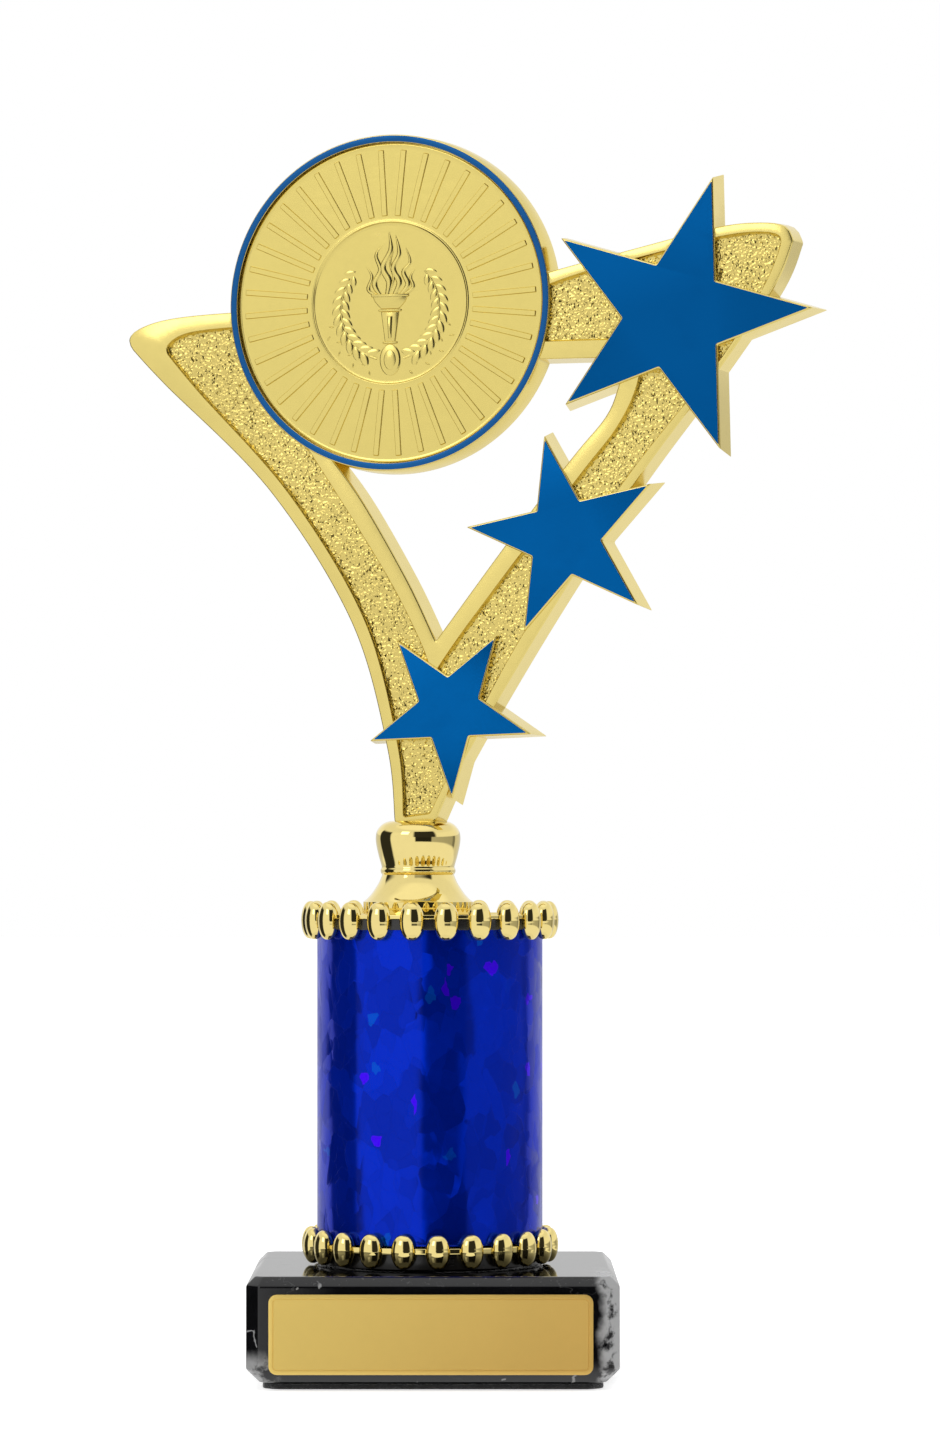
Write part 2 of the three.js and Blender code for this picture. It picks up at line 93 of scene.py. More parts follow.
# Depths (v) of the riser's back, its rim, its sunken field, and the faces of its stars and ring.
BACK, RIM, FIELD, PROUD = 2.5, -2.5, -1.5, -2.9
# The hollows in the back reach forward to this depth, and stop above the solid foot.
HOLLOW_FRONT = 0.2
HOLLOW_FOOT = 96.0
# How far the side walls spread at the back and at the front. The hold is how far from its ends a wall
# has one more outline, which keeps its shading flat.
DRAFT = 0.35
FRONT_SPREAD = 0.02
HOLD = 0.3
MEDAL_AT = (-3.95, 168.05)
RING_RADIUS = 26.3
SEAT_RADIUS = 25.2
SEAT_DEPTH = -0.6
MEDAL_BACK = -1.15
MEDAL_RADIUS = 25.0
ROUNDEL_RADIUS = 12.75
# The radius of a star's inner corners, as a share of the radius of its points.
STAR_WAIST = 0.382
# Each star's middle (u, z), the radius of its points and the angle of the first one.
STARS = {
    "large": ((42.4, 164.8), 22.06, 73.5),
    "medium": ((24.8, 130.9), 16.05, 101.8),
    "small": ((6.0, 104.1), 13.9, 128.1),
}
# The tongue that stands in the neck's slot: its left and right side, its foot and its shoulder.
TANG = (-3.1, 3.6, 84.9, 86.8)
# Outlines on the riser (u, z). Each run is a smooth curve, and the runs meet in corners.
BANNER_RUNS = [
    [(TANG[0], TANG[2]), (TANG[0], TANG[3])],
    [(TANG[0], TANG[3]), (-4.4, 98.6), (-10.3, 118.2), (-23.8, 138.9), (-41.4, 156), (-46.9, 161.7)],
    [(-46.9, 161.7), (-47.6, 163.4), (-45.8, 165.1), (-40.6, 166.5), (-30.6, 167.2), (-17, 167.3)],
    [(-17, 167.3), (-15.5, 146)],
    [(-15.5, 146), (-13.3, 143.5), (-8.1, 136.5), (-0.9, 124.3), (3.7, 114.9)],
    [(3.7, 114.9), (15, 129.6), (25.9, 143.1), (31.3, 149.3), (33.3, 153.7), (34.6, 158.6)],
    [(34.6, 158.6), (17, 158.6)],
    [(17, 158.6), (17, 170.5)],
    [(17, 170.5), (22.2, 172.1), (36.9, 175.5), (49.2, 178.2), (56, 178.7), (60, 178), (61.3, 175.8)],
    [(61.3, 175.8), (58.4, 169), (49.7, 156.6), (36.2, 139.3), (21.6, 118), (8.8, 97.2), (TANG[1], TANG[3])],
    [(TANG[1], TANG[3]), (TANG[1], TANG[2])],
]
FIELD_RUNS = [
    [(-1.6, 87.4), (-2.5, 98.6), (-8, 118.3), (-20.4, 138.2), (-35.5, 154.6), (-40.6, 160.5)],
    [(-40.6, 160.5), (-41.2, 162), (-38.1, 164), (-30.6, 164.8), (-19, 165)],
    [(-19, 165), (-19.4, 148.2)],
    [(-19.4, 148.2), (-12.1, 137.3), (-4, 124.6), (1, 115.1), (3.2, 109.4)],
    [(3.2, 109.4), (9.3, 117.8), (26.7, 139.7), (33.2, 147.7), (36.5, 154.4), (37.4, 161.4)],
    [(37.4, 161.4), (18, 161.4)],
    [(18, 161.4), (18, 168.8)],
    [(18, 168.8), (28, 171.9), (40.1, 174.6), (49.7, 176.7), (56, 177.2), (59.2, 176.4), (58.9, 174)],
    [(58.9, 174), (56.5, 168.7), (49.8, 158), (34.3, 139.4), (17.5, 115.2), (7.5, 97.2), (2.4, 87.4)],
]
# Ribs in the hollow: the middle (u, z), the angle in degrees and the length.
RIBS = [
    ((-31, 155), 45, 24),
    ((-14, 133), 32, 20),
    ((-3, 112), 18, 20),
    ((21, 129), -40, 22),
    ((47, 168), -62, 24),
]
RIB_WIDTH = 1.2


def on_riser(u, v, z):
    """A point of the riser's frame as a point of the whole trophy."""
    along, across = math.cos(RISER_TURN), math.sin(RISER_TURN)
    return (ROD_X + u * along + v * across, -u * across + v * along, z)


def on_medal(x, y, v):
    """A point beside the medal's centre, x across and y up, as a point of the whole trophy."""
    return on_riser(MEDAL_AT[0] + x, v, MEDAL_AT[1] + y)


# ---- outlines and solids ----


def smooth_outline(runs, spacing=1.0):
    """A closed outline made of runs, each a smooth curve through its points."""
    outline = []
    for run in runs:
        last = len(run) - 1
        for i in range(last):
            a, b = Vector(run[i]), Vector(run[i + 1])
            before, after = Vector(run[max(i - 1, 0)]), Vector(run[min(i + 2, last)])
            steps = 1 if last == 1 else max(2, math.ceil((b - a).length / spacing))
            start, end = (b - before) / 2, (after - a) / 2
            for k in range(steps):
                t = k / steps
                bend = (2 * a - 2 * b + start + end) * t**3
                bend += (-3 * a + 3 * b - 2 * start - end) * t**2
                outline.append(tuple(bend + start * t + a))
    return outline


def softened(outline, radius, steps=3, least_turn=12.0, closed=True):
    """An outline with its corners rounded by up to that radius."""
    made = []
    count = len(outline)
    for i, corner in enumerate(outline):
        here = Vector(corner)
        if not closed and i in (0, count - 1):
            made.append(tuple(here))
            continue
        into = Vector(outline[i - 1]) - here
        away = Vector(outline[(i + 1) % count]) - here
        turn = 180 - math.degrees(into.angle(away, math.pi))
        if turn < least_turn or min(into.length, away.length) < TINY:
            made.append(tuple(here))
            continue
        reach_in = here + into.normalized() * min(radius, 0.45 * into.length)
        reach_out = here + away.normalized() * min(radius, 0.45 * away.length)
        for k in range(steps + 1):
            t = k / steps
            made.append(tuple(reach_in * (1 - t) ** 2 + here * 2 * t * (1 - t) + reach_out * t**2))
    return made


def area_of(outline):
    """Signed area, positive where the outline runs anticlockwise."""
    pairs = zip(outline, outline[1:] + outline[:1])
    return sum(a[0] * b[1] - b[0] * a[1] for a, b in pairs) / 2


def grown(outline, growth):
    """An outline grown outwards, corner for corner."""
    outwards = growth if area_of(outline) > 0 else -growth
    made = []
    for i, corner in enumerate(outline):
        here = Vector(corner)
        into = (here - Vector(outline[i - 1])).normalized()
        away = (Vector(outline[(i + 1) % len(outline)]) - here).normalized()
        mitre = outwards / max(0.2, 1 + into.dot(away))
        made.append((here.x + mitre * (into.y + away.y), here.y - mitre * (into.x + away.x)))
    return made


def star_outline(at, radius, tip):
    """The ten corners of a star."""
    made = []
    for i in range(10):
        reach = radius * STAR_WAIST if i % 2 else radius
        angle = math.radians(tip + 36 * i)
        made.append((at[0] + reach * math.cos(angle), at[1] + reach * math.sin(angle)))
    return made


def rounded_rectangle(middle, width, height, radius, steps=8):
    """A rectangle with round corners."""
    made = []
    for quarter, (side, rise) in enumerate([(1, 1), (-1, 1), (-1, -1), (1, -1)]):
        for k in range(steps + 1):
            angle = (quarter + k / steps) * math.pi / 2
            x = middle[0] + side * (width / 2 - radius) + radius * math.cos(angle)
            y = middle[1] + rise * (height / 2 - radius) + radius * math.sin(angle)
            made.append((x, y))
    return made


def cut_square(half, cut):
    """A square about the middle with its corners cut off."""
    return [
        (half, -half + cut), (half, half - cut), (half - cut, half), (-half + cut, half),
        (-half, half - cut), (-half, -half + cut), (-half + cut, -half), (half - cut, -half),
    ]


def inside(outline, points):
    """Which of the points are inside the outline."""
    points = np.asarray(points, float)
    found = np.zeros(len(points), bool)
    for (ax, ay), (bx, by) in zip(outline, outline[1:] + outline[:1]):
        crosses = (ay > points[:, 1]) != (by > points[:, 1])
        if ay != by:
            at = ax + (points[:, 1] - ay) * (bx - ax) / (by - ay)
            found ^= crosses & (points[:, 0] < at)
    return found


def loops_between(rows, count, closed=False):
    """Faces that join rows of vertices, each row a ring of that count."""
    pairs = [(k, k + 1) for k in range(rows - 1)] + ([(rows - 1, 0)] if closed else [])
    return [
        (a * count + i, a * count + (i + 1) % count, b * count + (i + 1) % count, b * count + i)
        for a, b in pairs
        for i in range(count)
    ]


def stacked(levels, place):
    """A closed solid from outlines of equal counts, one above another."""
    count = len(levels[0][0])
    points = [place(x, level, y) for outline, level in levels for x, y in outline]
    faces = loops_between(len(levels), count)
    faces += [tuple(range(count)), tuple(range((len(levels) - 1) * count, len(levels) * count))]
    return points, faces


def revolved(profile, steps, place, swell=None):
    """A closed solid turned from a profile of (radius, level) points."""
    points, rings = [], []
    for radius, level in profile:
        alone = radius < TINY
        first = len(points)
        for i in range(1 if alone else steps):
            angle = 2 * math.pi * i / steps
            reach = radius + (swell(angle) if swell else 0)
            points.append(place(reach * math.cos(angle), reach * math.sin(angle), level))
        rings.append([first] * steps if alone else list(range(first, first + steps)))
    faces = []
    for low, high in zip(rings, rings[1:] + rings[:1]):
        for i in range(steps):
            corners = (low[i], low[(i + 1) % steps], high[(i + 1) % steps], high[i])
            face = tuple(dict.fromkeys(corners))
            if len(face) > 2:
                faces.append(face)
    return points, faces


def moulded_wall(front, soft):
    """The spread and depth of a drafted side wall, from the riser's back to its soft front edge."""
    slope = (DRAFT - FRONT_SPREAD) / (BACK - front - soft)
    return [
        (DRAFT, BACK),
        (DRAFT - HOLD * slope, BACK - HOLD),
        (FRONT_SPREAD + HOLD * slope, front + soft + HOLD),
        (FRONT_SPREAD, front + soft),
        (-0.3 * soft, front + 0.3 * soft),
        (-soft, front),
    ]


def lying(x, level, y):
    """A point of an outline that lies flat at a level."""
    return (x, y, level)


def standing(x, level, z):
    """A point of an outline that stands upright at a depth."""
    return (x, level, z)


def around_column(x, y, z):
    """A point beside the column's axis as a point of the whole trophy."""
    return (COLUMN_X + x, y, z)


def around_rod(x, y, z):
    """A point beside the rod's axis as a point of the whole trophy."""
    return (ROD_X + x, y, z)


def shade(mesh, angle):
    """Smooth shading, with sharp edges where the surface turns by more than the angle."""
    mesh.polygons.foreach_set("use_smooth", [True] * len(mesh.polygons))
    mesh.set_sharp_from_angle(angle=math.radians(angle))
    mesh.update()


def solid_object(name, points, faces, angle=32.0):
    """A new object in millimetres, merged, facing outwards and smoothly shaded."""
    mesh = bpy.data.meshes.new(name)
    mesh.from_pydata([tuple(c * MM for c in point) for point in points], [], faces)
    made = bmesh.new()
    made.from_mesh(mesh)
    bmesh.ops.remove_doubles(made, verts=made.verts, dist=WELD)
    bmesh.ops.recalc_face_normals(made, faces=made.faces)
    made.to_mesh(mesh)
    made.free()
    shade(mesh, angle)
    piece = bpy.data.objects.new(name, mesh)
    bpy.context.scene.collection.objects.link(piece)
    return piece


def settled(piece):
    """Turns what the modifiers make into the piece's own plain mesh."""
    graph = bpy.context.evaluated_depsgraph_get()
    mesh = bpy.data.meshes.new_from_object(piece.evaluated_get(graph), depsgraph=graph)
    mesh.name = piece.name
    piece.modifiers.clear()
    piece.data = mesh
    return piece


def combined(piece, other, operation):
    """Adds another solid to a piece, or cuts it away, and removes the other."""
    joint = piece.modifiers.new("combine", "BOOLEAN")
    joint.operation = operation
    joint.solver = "MANIFOLD"
    joint.object = other
    settled(piece)
    bpy.data.objects.remove(other)
    if not piece.data.polygons:
        raise RuntimeError(f"{piece.name} is empty after {operation}")
    return piece


def joined(name, pieces):
    """Several objects as one, without changing their shapes."""
    made = bmesh.new()
    for piece in pieces:
        made.from_mesh(piece.data)
    mesh = bpy.data.meshes.new(name)
    made.to_mesh(mesh)
    made.free()
    for piece in pieces:
        bpy.data.objects.remove(piece)
    result = bpy.data.objects.new(name, mesh)
    bpy.context.scene.collection.objects.link(result)
    return result


def handed_in(piece, body, slot, material, *nodes):
    """Gives a finished piece its material and body, and hides the CAD nodes that it stands for. The slot is
    not used.
    """
    if material is not None:
        piece.data.materials.clear()
        piece.data.materials.append(material)
    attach(piece, body)
    if nodes:
        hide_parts(*nodes)
    return piece


# ---- node trees ----


class Bench:
    """Places nodes in one tree and joins them."""

    def __init__(self, tree):
        self.tree = tree

    def put(self, kind, inputs=None, **settings):
        """A new node with its settings and inputs, each input a value or another node's output."""
        node = self.tree.nodes.new(kind)
        for key, value in settings.items():
            setattr(node, key, value)
        for key, value in (inputs or {}).items():
            self.feed(node.inputs[key], value)
        return node

    def feed(self, socket, value):
        """Sets an input, or joins an output to it."""
        if isinstance(value, bpy.types.NodeSocket):
            self.tree.links.new(value, socket)
        else:
            socket.default_value = value

    def math(self, operation, *values, clamp=False):
        """A math node's result."""
        kind = "ShaderNodeMath"
        return self.put(kind, dict(enumerate(values)), operation=operation, use_clamp=clamp).outputs[0]

    def vector(self, operation, *values):
        """A vector math node's vector result."""
        inputs = dict(enumerate(values))
        if operation == "SCALE":
            inputs = {0: values[0], "Scale": values[1]}
        return self.put("ShaderNodeVectorMath", inputs, operation=operation).outputs[0]

    def between(self, value, low, high, start=0.0, end=1.0):
        """A value carried smoothly from one span to another."""
        inputs = {"Value": value, "From Min": low, "From Max": high, "To Min": start, "To Max": end}
        return self.put("ShaderNodeMapRange", inputs, interpolation_type="SMOOTHSTEP").outputs[0]

    def blend(self, share, first, second):
        """A mix of two colours."""
        node = self.tree.nodes.new("ShaderNodeMix")
        node.data_type = "RGBA"
        self.feed(node.inputs[0], share)
        self.feed(node.inputs[6], first)
        self.feed(node.inputs[7], second)
        return node.outputs[2]

    def noise(self, place, scale, detail=3.0, roughness=0.55, dimensions="3D"):
        """A noise texture node."""
        inputs = {"Scale": scale, "Detail": detail, "Roughness": roughness}
        node = self.put("ShaderNodeTexNoise", inputs, noise_dimensions=dimensions)
        self.feed(node.inputs["Vector"], place)
        return node

    def ramp(self, value, stops, interpolation="LINEAR"):
        """A grey ramp with its stops, from the lowest place to the highest."""
        node = self.put("ShaderNodeValToRGB", {0: value})
        node.color_ramp.interpolation = interpolation
        elements = node.color_ramp.elements
        elements[0].position, elements[1].position = stops[0][0], stops[-1][0]
        for place, _ in stops[1:-1]:
            elements.new(place)
        for element, (_, level) in zip(elements, stops):
            element.color = grey(level)
        return node.outputs[0]


def new_group(name, kind, inputs, outputs):
    """An empty node group with its sockets, and a bench on it."""
    tree = bpy.data.node_groups.new(name, kind)
    for direction, sockets in (("INPUT", inputs), ("OUTPUT", outputs)):
        for label, socket, value in sockets:
            made = tree.interface.new_socket(label, in_out=direction, socket_type=socket)
            if direction == "INPUT" and value is not None:
                made.default_value = value
    bench = Bench(tree)
    start = tree.nodes.new("NodeGroupInput")
    end = tree.nodes.new("NodeGroupOutput")
    return bench, start.outputs, end.inputs


FLOAT, COLOUR, VECTOR = "NodeSocketFloat", "NodeSocketColor", "NodeSocketVector"


def object_place(bench):
    """The place on the piece, in metres."""
    return bench.put("ShaderNodeTexCoord").outputs["Object"]


def make_handling_marks():
    """Roughness that is clean in most places and dulled where hands and cloths have been."""
    inputs = [("Clean", FLOAT, 0.1), ("Worn", FLOAT, 0.3), ("Size", FLOAT, 90.0)]
    bench, given, result = new_group("handling_marks", "ShaderNodeTree", inputs, [("Roughness", FLOAT, None)])
    place = object_place(bench)
    smears = bench.noise(place, given["Size"], 4.0, 0.6).outputs["Fac"]
    wipes = bench.vector("MULTIPLY", place, (0.25, 0.25, 2.5))
    streaks = bench.noise(wipes, bench.math("MULTIPLY", given["Size"], 5.0), 3.0).outputs["Fac"]
    patch = bench.between(smears, 0.48, 0.68)
    worn = bench.math("MULTIPLY", patch, bench.between(streaks, 0.35, 0.65, 0.35, 1.0))
    span = bench.math("SUBTRACT", given["Worn"], given["Clean"])
    bench.feed(result["Roughness"], bench.math("MULTIPLY_ADD", worn, span, given["Clean"]))
    return bench.tree


def make_colour_drift():
    """A colour that drifts gently towards a second one over the surface."""
    inputs = [("Light", COLOUR, (1, 1, 1, 1)), ("Dark", COLOUR, (0, 0, 0, 1)), ("Size", FLOAT, 40.0)]
    bench, given, result = new_group("colour_drift", "ShaderNodeTree", inputs, [("Colour", COLOUR, None)])
    place = object_place(bench)
    broad = bench.noise(place, given["Size"], 3.0).outputs["Fac"]
    fine = bench.noise(place, bench.math("MULTIPLY", given["Size"], 11.0), 3.0).outputs["Fac"]
    mixed = bench.math("MULTIPLY_ADD", fine, 0.35, bench.math("MULTIPLY", broad, 0.65))
    bench.feed(result["Colour"], bench.blend(bench.between(mixed, 0.3, 0.7), given["Light"], given["Dark"]))
    return bench.tree


def make_fine_grain():
    """Height, in metres, of a fine uneven surface."""
    inputs = [("Size", FLOAT, 2000.0), ("Depth", FLOAT, 0.00001), ("Pits", FLOAT, 0.3)]
    bench, given, result = new_group("fine_grain", "ShaderNodeTree", inputs, [("Height", FLOAT, None)])
    place = object_place(bench)
    bumps = bench.noise(place, given["Size"], 3.0, 0.6).outputs["Fac"]
    cells = bench.put("ShaderNodeTexVoronoi", {"Vector": place, "Scale": given["Size"]})
    pits = bench.math("MULTIPLY", bench.between(cells.outputs["Distance"], 0.0, 0.5), given["Pits"])
    bench.feed(result["Height"], bench.math("MULTIPLY", bench.math("ADD", bumps, pits), given["Depth"]))
    return bench.tree


def make_settled_dust():
    """How much dust lies here: most on faces that look up, broken into specks."""
    inputs = [("Amount", FLOAT, 0.3), ("Specks", FLOAT, 1500.0)]
    bench, given, result = new_group("settled_dust", "ShaderNodeTree", inputs, [("Dust", FLOAT, None)])
    normal = bench.put("ShaderNodeNewGeometry").outputs["Normal"]
    up = bench.put("ShaderNodeSeparateXYZ", {0: normal}).outputs["Z"]
    specks = bench.noise(object_place(bench), given["Specks"], 2.0).outputs["Fac"]
    cover = bench.math("MULTIPLY", bench.between(up, 0.3, 0.95), bench.between(specks, 0.62, 0.72))
    bench.feed(result["Dust"], bench.math("MULTIPLY", cover, given["Amount"], clamp=True))
    return bench.tree


def distance_to_line(bench, x, z, start, end):
    """Distance from a point (x, z) to a straight vein, both in metres."""
    along = Vector(end) - Vector(start)
    length = along.length
    run = along / length
    dx = bench.math("SUBTRACT", x, start[0])
    dz = bench.math("SUBTRACT", z, start[1])
    t = bench.math("MULTIPLY_ADD", dx, run[0], bench.math("MULTIPLY", dz, run[1]))
    t = bench.math("MINIMUM", bench.math("MAXIMUM", t, 0.0), length)
    ox = bench.math("MULTIPLY_ADD", t, -run[0], dx)
    oz = bench.math("MULTIPLY_ADD", t, -run[1], dz)
    square = bench.math("MULTIPLY_ADD", ox, ox, bench.math("MULTIPLY", oz, oz))
    return bench.math("SQRT", square)


def pale_patches(bench, place, x, y, z):
    """The pale patch down the block's right front edge, and the one in its lower left corner.

    Both are placed in metres from the block's left and right sides, its middle and its foot.
    """
    left, right = BLOCK[0].x * MM, BLOCK[1].x * MM
    edge = bench.between(x, right - 0.0039, right - 0.0024)
    fade = bench.between(y, -0.006, -0.024)
    blotches = bench.noise(place, 240.0, 5.0, 0.62).outputs["Fac"]
    patch = bench.math("MULTIPLY", edge, fade)
    patch = bench.math("MULTIPLY", patch, bench.between(blotches, 0.62, 0.5, 0.0, 0.85))
    side = bench.between(x, left + 0.0062, left + 0.0036)
    corner = bench.math("MULTIPLY", side, bench.between(z, 0.0062, 0.0034))
    corner = bench.math("MULTIPLY", corner, bench.between(blotches, 0.58, 0.44, 0.0, 0.7))
    return patch, corner


def thin_clouds(bench, place, bent, size, front):
    """Thin pale ridges in the stone, rare on the front and commoner behind."""
    elsewhere = bench.vector("ADD", bent, (0.31, 0.12, 0.0))
    cloud = bench.noise(elsewhere, size, 5.0, 0.6).outputs["Fac"]
    ridge = bench.math("ABSOLUTE", bench.math("SUBTRACT", cloud, 0.5))
    rare = bench.noise(place, 38.0, 1.0).outputs["Fac"]
    thin = bench.between(ridge, 0.006, 0.0)
    thin = bench.math("MULTIPLY", thin, bench.between(rare, 0.52, 0.66, 0.0, 0.5))
    return bench.math("MULTIPLY", thin, bench.between(front, 1.0, 0.0, 0.15, 1.0))


def make_stone_veins():
    """Black marble's veins and pale patches: how white the stone is here, and how pitted."""
    outputs = [("White", FLOAT, None), ("Pits", FLOAT, None)]
    inputs = [("Vein Width", FLOAT, 0.00016), ("Cloud Size", FLOAT, 55.0)]
    bench, given, result = new_group("stone_veins", "ShaderNodeTree", inputs, outputs)
    place = object_place(bench)
    drift = bench.noise(place, 130.0, 4.0, 0.6).outputs["Color"]
    shift = bench.vector("SCALE", bench.vector("SUBTRACT", drift, (0.5, 0.5, 0.5)), 0.0042)
    bent = bench.vector("ADD", place, shift)
    parts = bench.put("ShaderNodeSeparateXYZ", {0: bent})
    x, y, z = parts.outputs
    left = BLOCK[0].x * MM
    # Straight veins and specks on the front: the start, the end (x, z), and the width.
    lines = [
        ((left, 0.0085), (left + 0.0017, 0.0084), 0.8),
        ((left + 0.0017, 0.0084), (left + 0.0024, 0.0063), 0.7),
        ((0.0218, 0.0022), (0.0200, 0.0002), 0.8),
        ((-0.0171, 0.0160), (-0.0169, 0.0162), 1.3),
        ((-0.0207, 0.0158), (-0.0205, 0.0159), 0.9),
        ((-0.0023, 0.0012), (-0.0021, 0.0013), 1.0),
        ((0.0102, 0.0012), (0.0104, 0.0013), 0.9),
    ]
    patch, corner = pale_patches(bench, place, x, y, z)
    front = bench.between(y, -0.02, -0.026)
    total = bench.math("MAXIMUM", patch, corner)
    for start, end, width in lines:
        reach = bench.math("MULTIPLY", given["Vein Width"], width)
        near = distance_to_line(bench, x, z, start, end)
        seen = bench.between(bench.math("DIVIDE", near, reach), 1.5, 0.4, 0.0, 0.55)
        total = bench.math("MAXIMUM", total, bench.math("MULTIPLY", seen, front))
    thin = thin_clouds(bench, place, bent, given["Cloud Size"], front)
    total = bench.math("MAXIMUM", total, thin)
    bench.feed(result["White"], bench.math("MINIMUM", total, 1.0))
    bench.feed(result["Pits"], bench.noise(place, 2600.0, 2.0).outputs["Fac"])
    return bench.tree


def diamonds(bench, place, scale):
    """A flat pattern of straight-sided cells."""
    inputs = {"Vector": place, "Scale": scale}
    return bench.put("ShaderNodeTexVoronoi", inputs, voronoi_dimensions="2D", distance="MANHATTAN")


def make_broken_ice():
    """Film facets around the column: their colour with painted violet and cyan glints, and a height that
    tilts each one its own way.
    """
    inputs = [
        ("Deep", COLOUR, (0, 0, 0.2, 1)),
        ("Bright", COLOUR, (0, 0.02, 0.6, 1)),
        ("Violet", COLOUR, (0.1, 0, 0.9, 1)),
        ("Cyan", COLOUR, (0, 0.3, 0.7, 1)),
        ("Facets", FLOAT, 190.0),
        ("Tilt", FLOAT, 0.12),
    ]
    outputs = [("Colour", COLOUR, None), ("Height", FLOAT, None)]
    bench, given, result = new_group("broken_ice", "ShaderNodeTree", inputs, outputs)
    parts = bench.put("ShaderNodeSeparateXYZ", {0: object_place(bench)}).outputs
    side = bench.math("SUBTRACT", parts["X"], COLUMN_X * MM)
    angle = bench.math("ARCTAN2", side, bench.math("MULTIPLY", parts["Y"], -1.0))
    arc = bench.math("MULTIPLY", angle, FILM[1].y * MM)
    rise = bench.math("MULTIPLY", parts["Z"], 0.72)
    flat = bench.put("ShaderNodeCombineXYZ", {0: arc, 1: rise, 2: 0.0}).outputs[0]
    warp = bench.noise(flat, 150.0, 2.0, 0.5, "2D").outputs["Color"]
    warp = bench.vector("SCALE", bench.vector("SUBTRACT", warp, (0.5, 0.5, 0.5)), 0.0014)
    bent = bench.vector("ADD", flat, warp)
    height = None
    picks = []
    for share, turn in ((1.0, 0.35), (2.1, -0.5)):
        turned = bench.put("ShaderNodeVectorRotate", {"Vector": bent, "Angle": turn}).outputs[0]
        scale = bench.math("MULTIPLY", given["Facets"], share)
        cells = diamonds(bench, turned, scale)
        lean = bench.vector("SUBTRACT", cells.outputs["Color"], (0.5, 0.5, 0.5))
        lean = bench.vector("MULTIPLY", lean, (1.0, 1.0, 0.0))
        offset = bench.vector("SUBTRACT", turned, cells.outputs["Position"])
        rise = bench.put("ShaderNodeVectorMath", {0: offset, 1: lean}, operation="DOT_PRODUCT")
        rise = rise.outputs["Value"]
        rise = bench.math("MULTIPLY", rise, given["Tilt"])
        height = rise if height is None else bench.math("MULTIPLY_ADD", rise, 0.7, height)
        picks.append(bench.put("ShaderNodeSeparateColor", {0: cells.outputs["Color"]}).outputs)
    broad, small = picks
    # Painted glints: a few small cells are coloured violet and cyan, standing for the film's iridescent
    # sparkle.
    painted_glints = diamonds(bench, bent, bench.math("MULTIPLY", given["Facets"], 4.2))
    painted_glint = bench.put("ShaderNodeSeparateColor", {0: painted_glints.outputs["Color"]}).outputs
    tone = bench.math("MULTIPLY_ADD", small["Red"], 0.4, bench.math("MULTIPLY", broad["Blue"], 0.6))
    base = bench.blend(bench.between(tone, 0.2, 0.8), given["Deep"], given["Bright"])
    base = bench.blend(bench.between(painted_glint["Green"], 0.985, 0.988, 0.0, 0.9), base, given["Violet"])
    base = bench.blend(bench.between(painted_glint["Blue"], 0.99, 0.993, 0.0, 0.6), base, given["Cyan"])
    bench.feed(result["Colour"], base)
    bench.feed(result["Height"], height)
    return bench.tree


def new_material(name, **constants):
    """A material with its Principled BSDF, constants set on the shader's own sockets."""
    material = bpy.data.materials.new(FINISH_PREFIX + name)
    material.use_nodes = True
    tree = material.node_tree
    tree.nodes.clear()
    bench = Bench(tree)
    shader = bench.put("ShaderNodeBsdfPrincipled")
    end = bench.put("ShaderNodeOutputMaterial")
    tree.links.new(shader.outputs[0], end.inputs[0])
    for key, value in constants.items():
        shader.inputs[key.replace("_", " ")].default_value = value
    return material, bench, shader


def use_group(bench, name, **values):
    """A node that uses one of the shared groups, with its own values."""
    node = bench.put("ShaderNodeGroup", node_tree=bpy.data.node_groups[name])
    for key, value in values.items():
        bench.feed(node.inputs[key.replace("_", " ")], value)
    return node


def grained(bench, shader, size, depth, pits=0.3):
    """Gives a shader the fine grain as bump."""
    grain = use_group(bench, "fine_grain", Size=size, Depth=depth, Pits=pits)
    bump = bench.put("ShaderNodeBump", {"Strength": 1.0, "Distance": 1.0, "Height": grain.outputs["Height"]})
    bench.feed(shader.inputs["Normal"], bump.outputs["Normal"])


def darker(colour, share):
    """A colour multiplied down."""
    return (colour[0] * share, colour[1] * share, colour[2] * share, 1.0)


def grey(level):
    """A grey as light as the level."""
    return (level, level, level, 1.0)


def opaque(colour):
    """A colour with full alpha."""
    return (colour[0], colour[1], colour[2], 1.0)


def marked(bench, shader, roughness, size):
    """Gives a shader the handling marks, between a clean and a worn roughness."""
    clean, worn = roughness
    marks = use_group(bench, "handling_marks", Clean=clean, Worn=worn, Size=size)
    bench.feed(shader.inputs["Roughness"], marks.outputs["Roughness"])


def metal(name, colour, roughness, size, grain, drift=0.86):
    """A metal or plated finish, its roughness clean and worn, its grain a size, a depth and pits."""
    material, bench, shader = new_material(name, Metallic=1.0)
    tone = use_group(bench, "colour_drift", Light=opaque(colour), Dark=darker(colour, drift), Size=size)
    bench.feed(shader.inputs["Base Color"], tone.outputs["Colour"])
    marked(bench, shader, roughness, size)
    grained(bench, shader, *grain)
    return material


def riser_material(colours):
    """Moulded and plated riser gold, with painted shade that makes it deeper where the field is stippled."""
    material = metal("riser_gold", colours.riser_gold, (0.2, 0.3), 60.0, (2600.0, 0.000004, 0.3), 0.93)
    shader = material.node_tree.nodes["Principled BSDF"]
    bench = Bench(material.node_tree)
    clean = shader.inputs["Base Color"].links[0].from_socket
    # Painted shade: the stippled field is darkened to stand for the shade in its grain.
    field_painted_shade = bench.vector("MULTIPLY", clean, (0.9, 0.88, 0.82))
    stippled = bench.put("ShaderNodeAttribute", attribute_name="grain").outputs["Fac"]
    bench.feed(shader.inputs["Base Color"], bench.blend(stippled, clean, field_painted_shade))
    return material


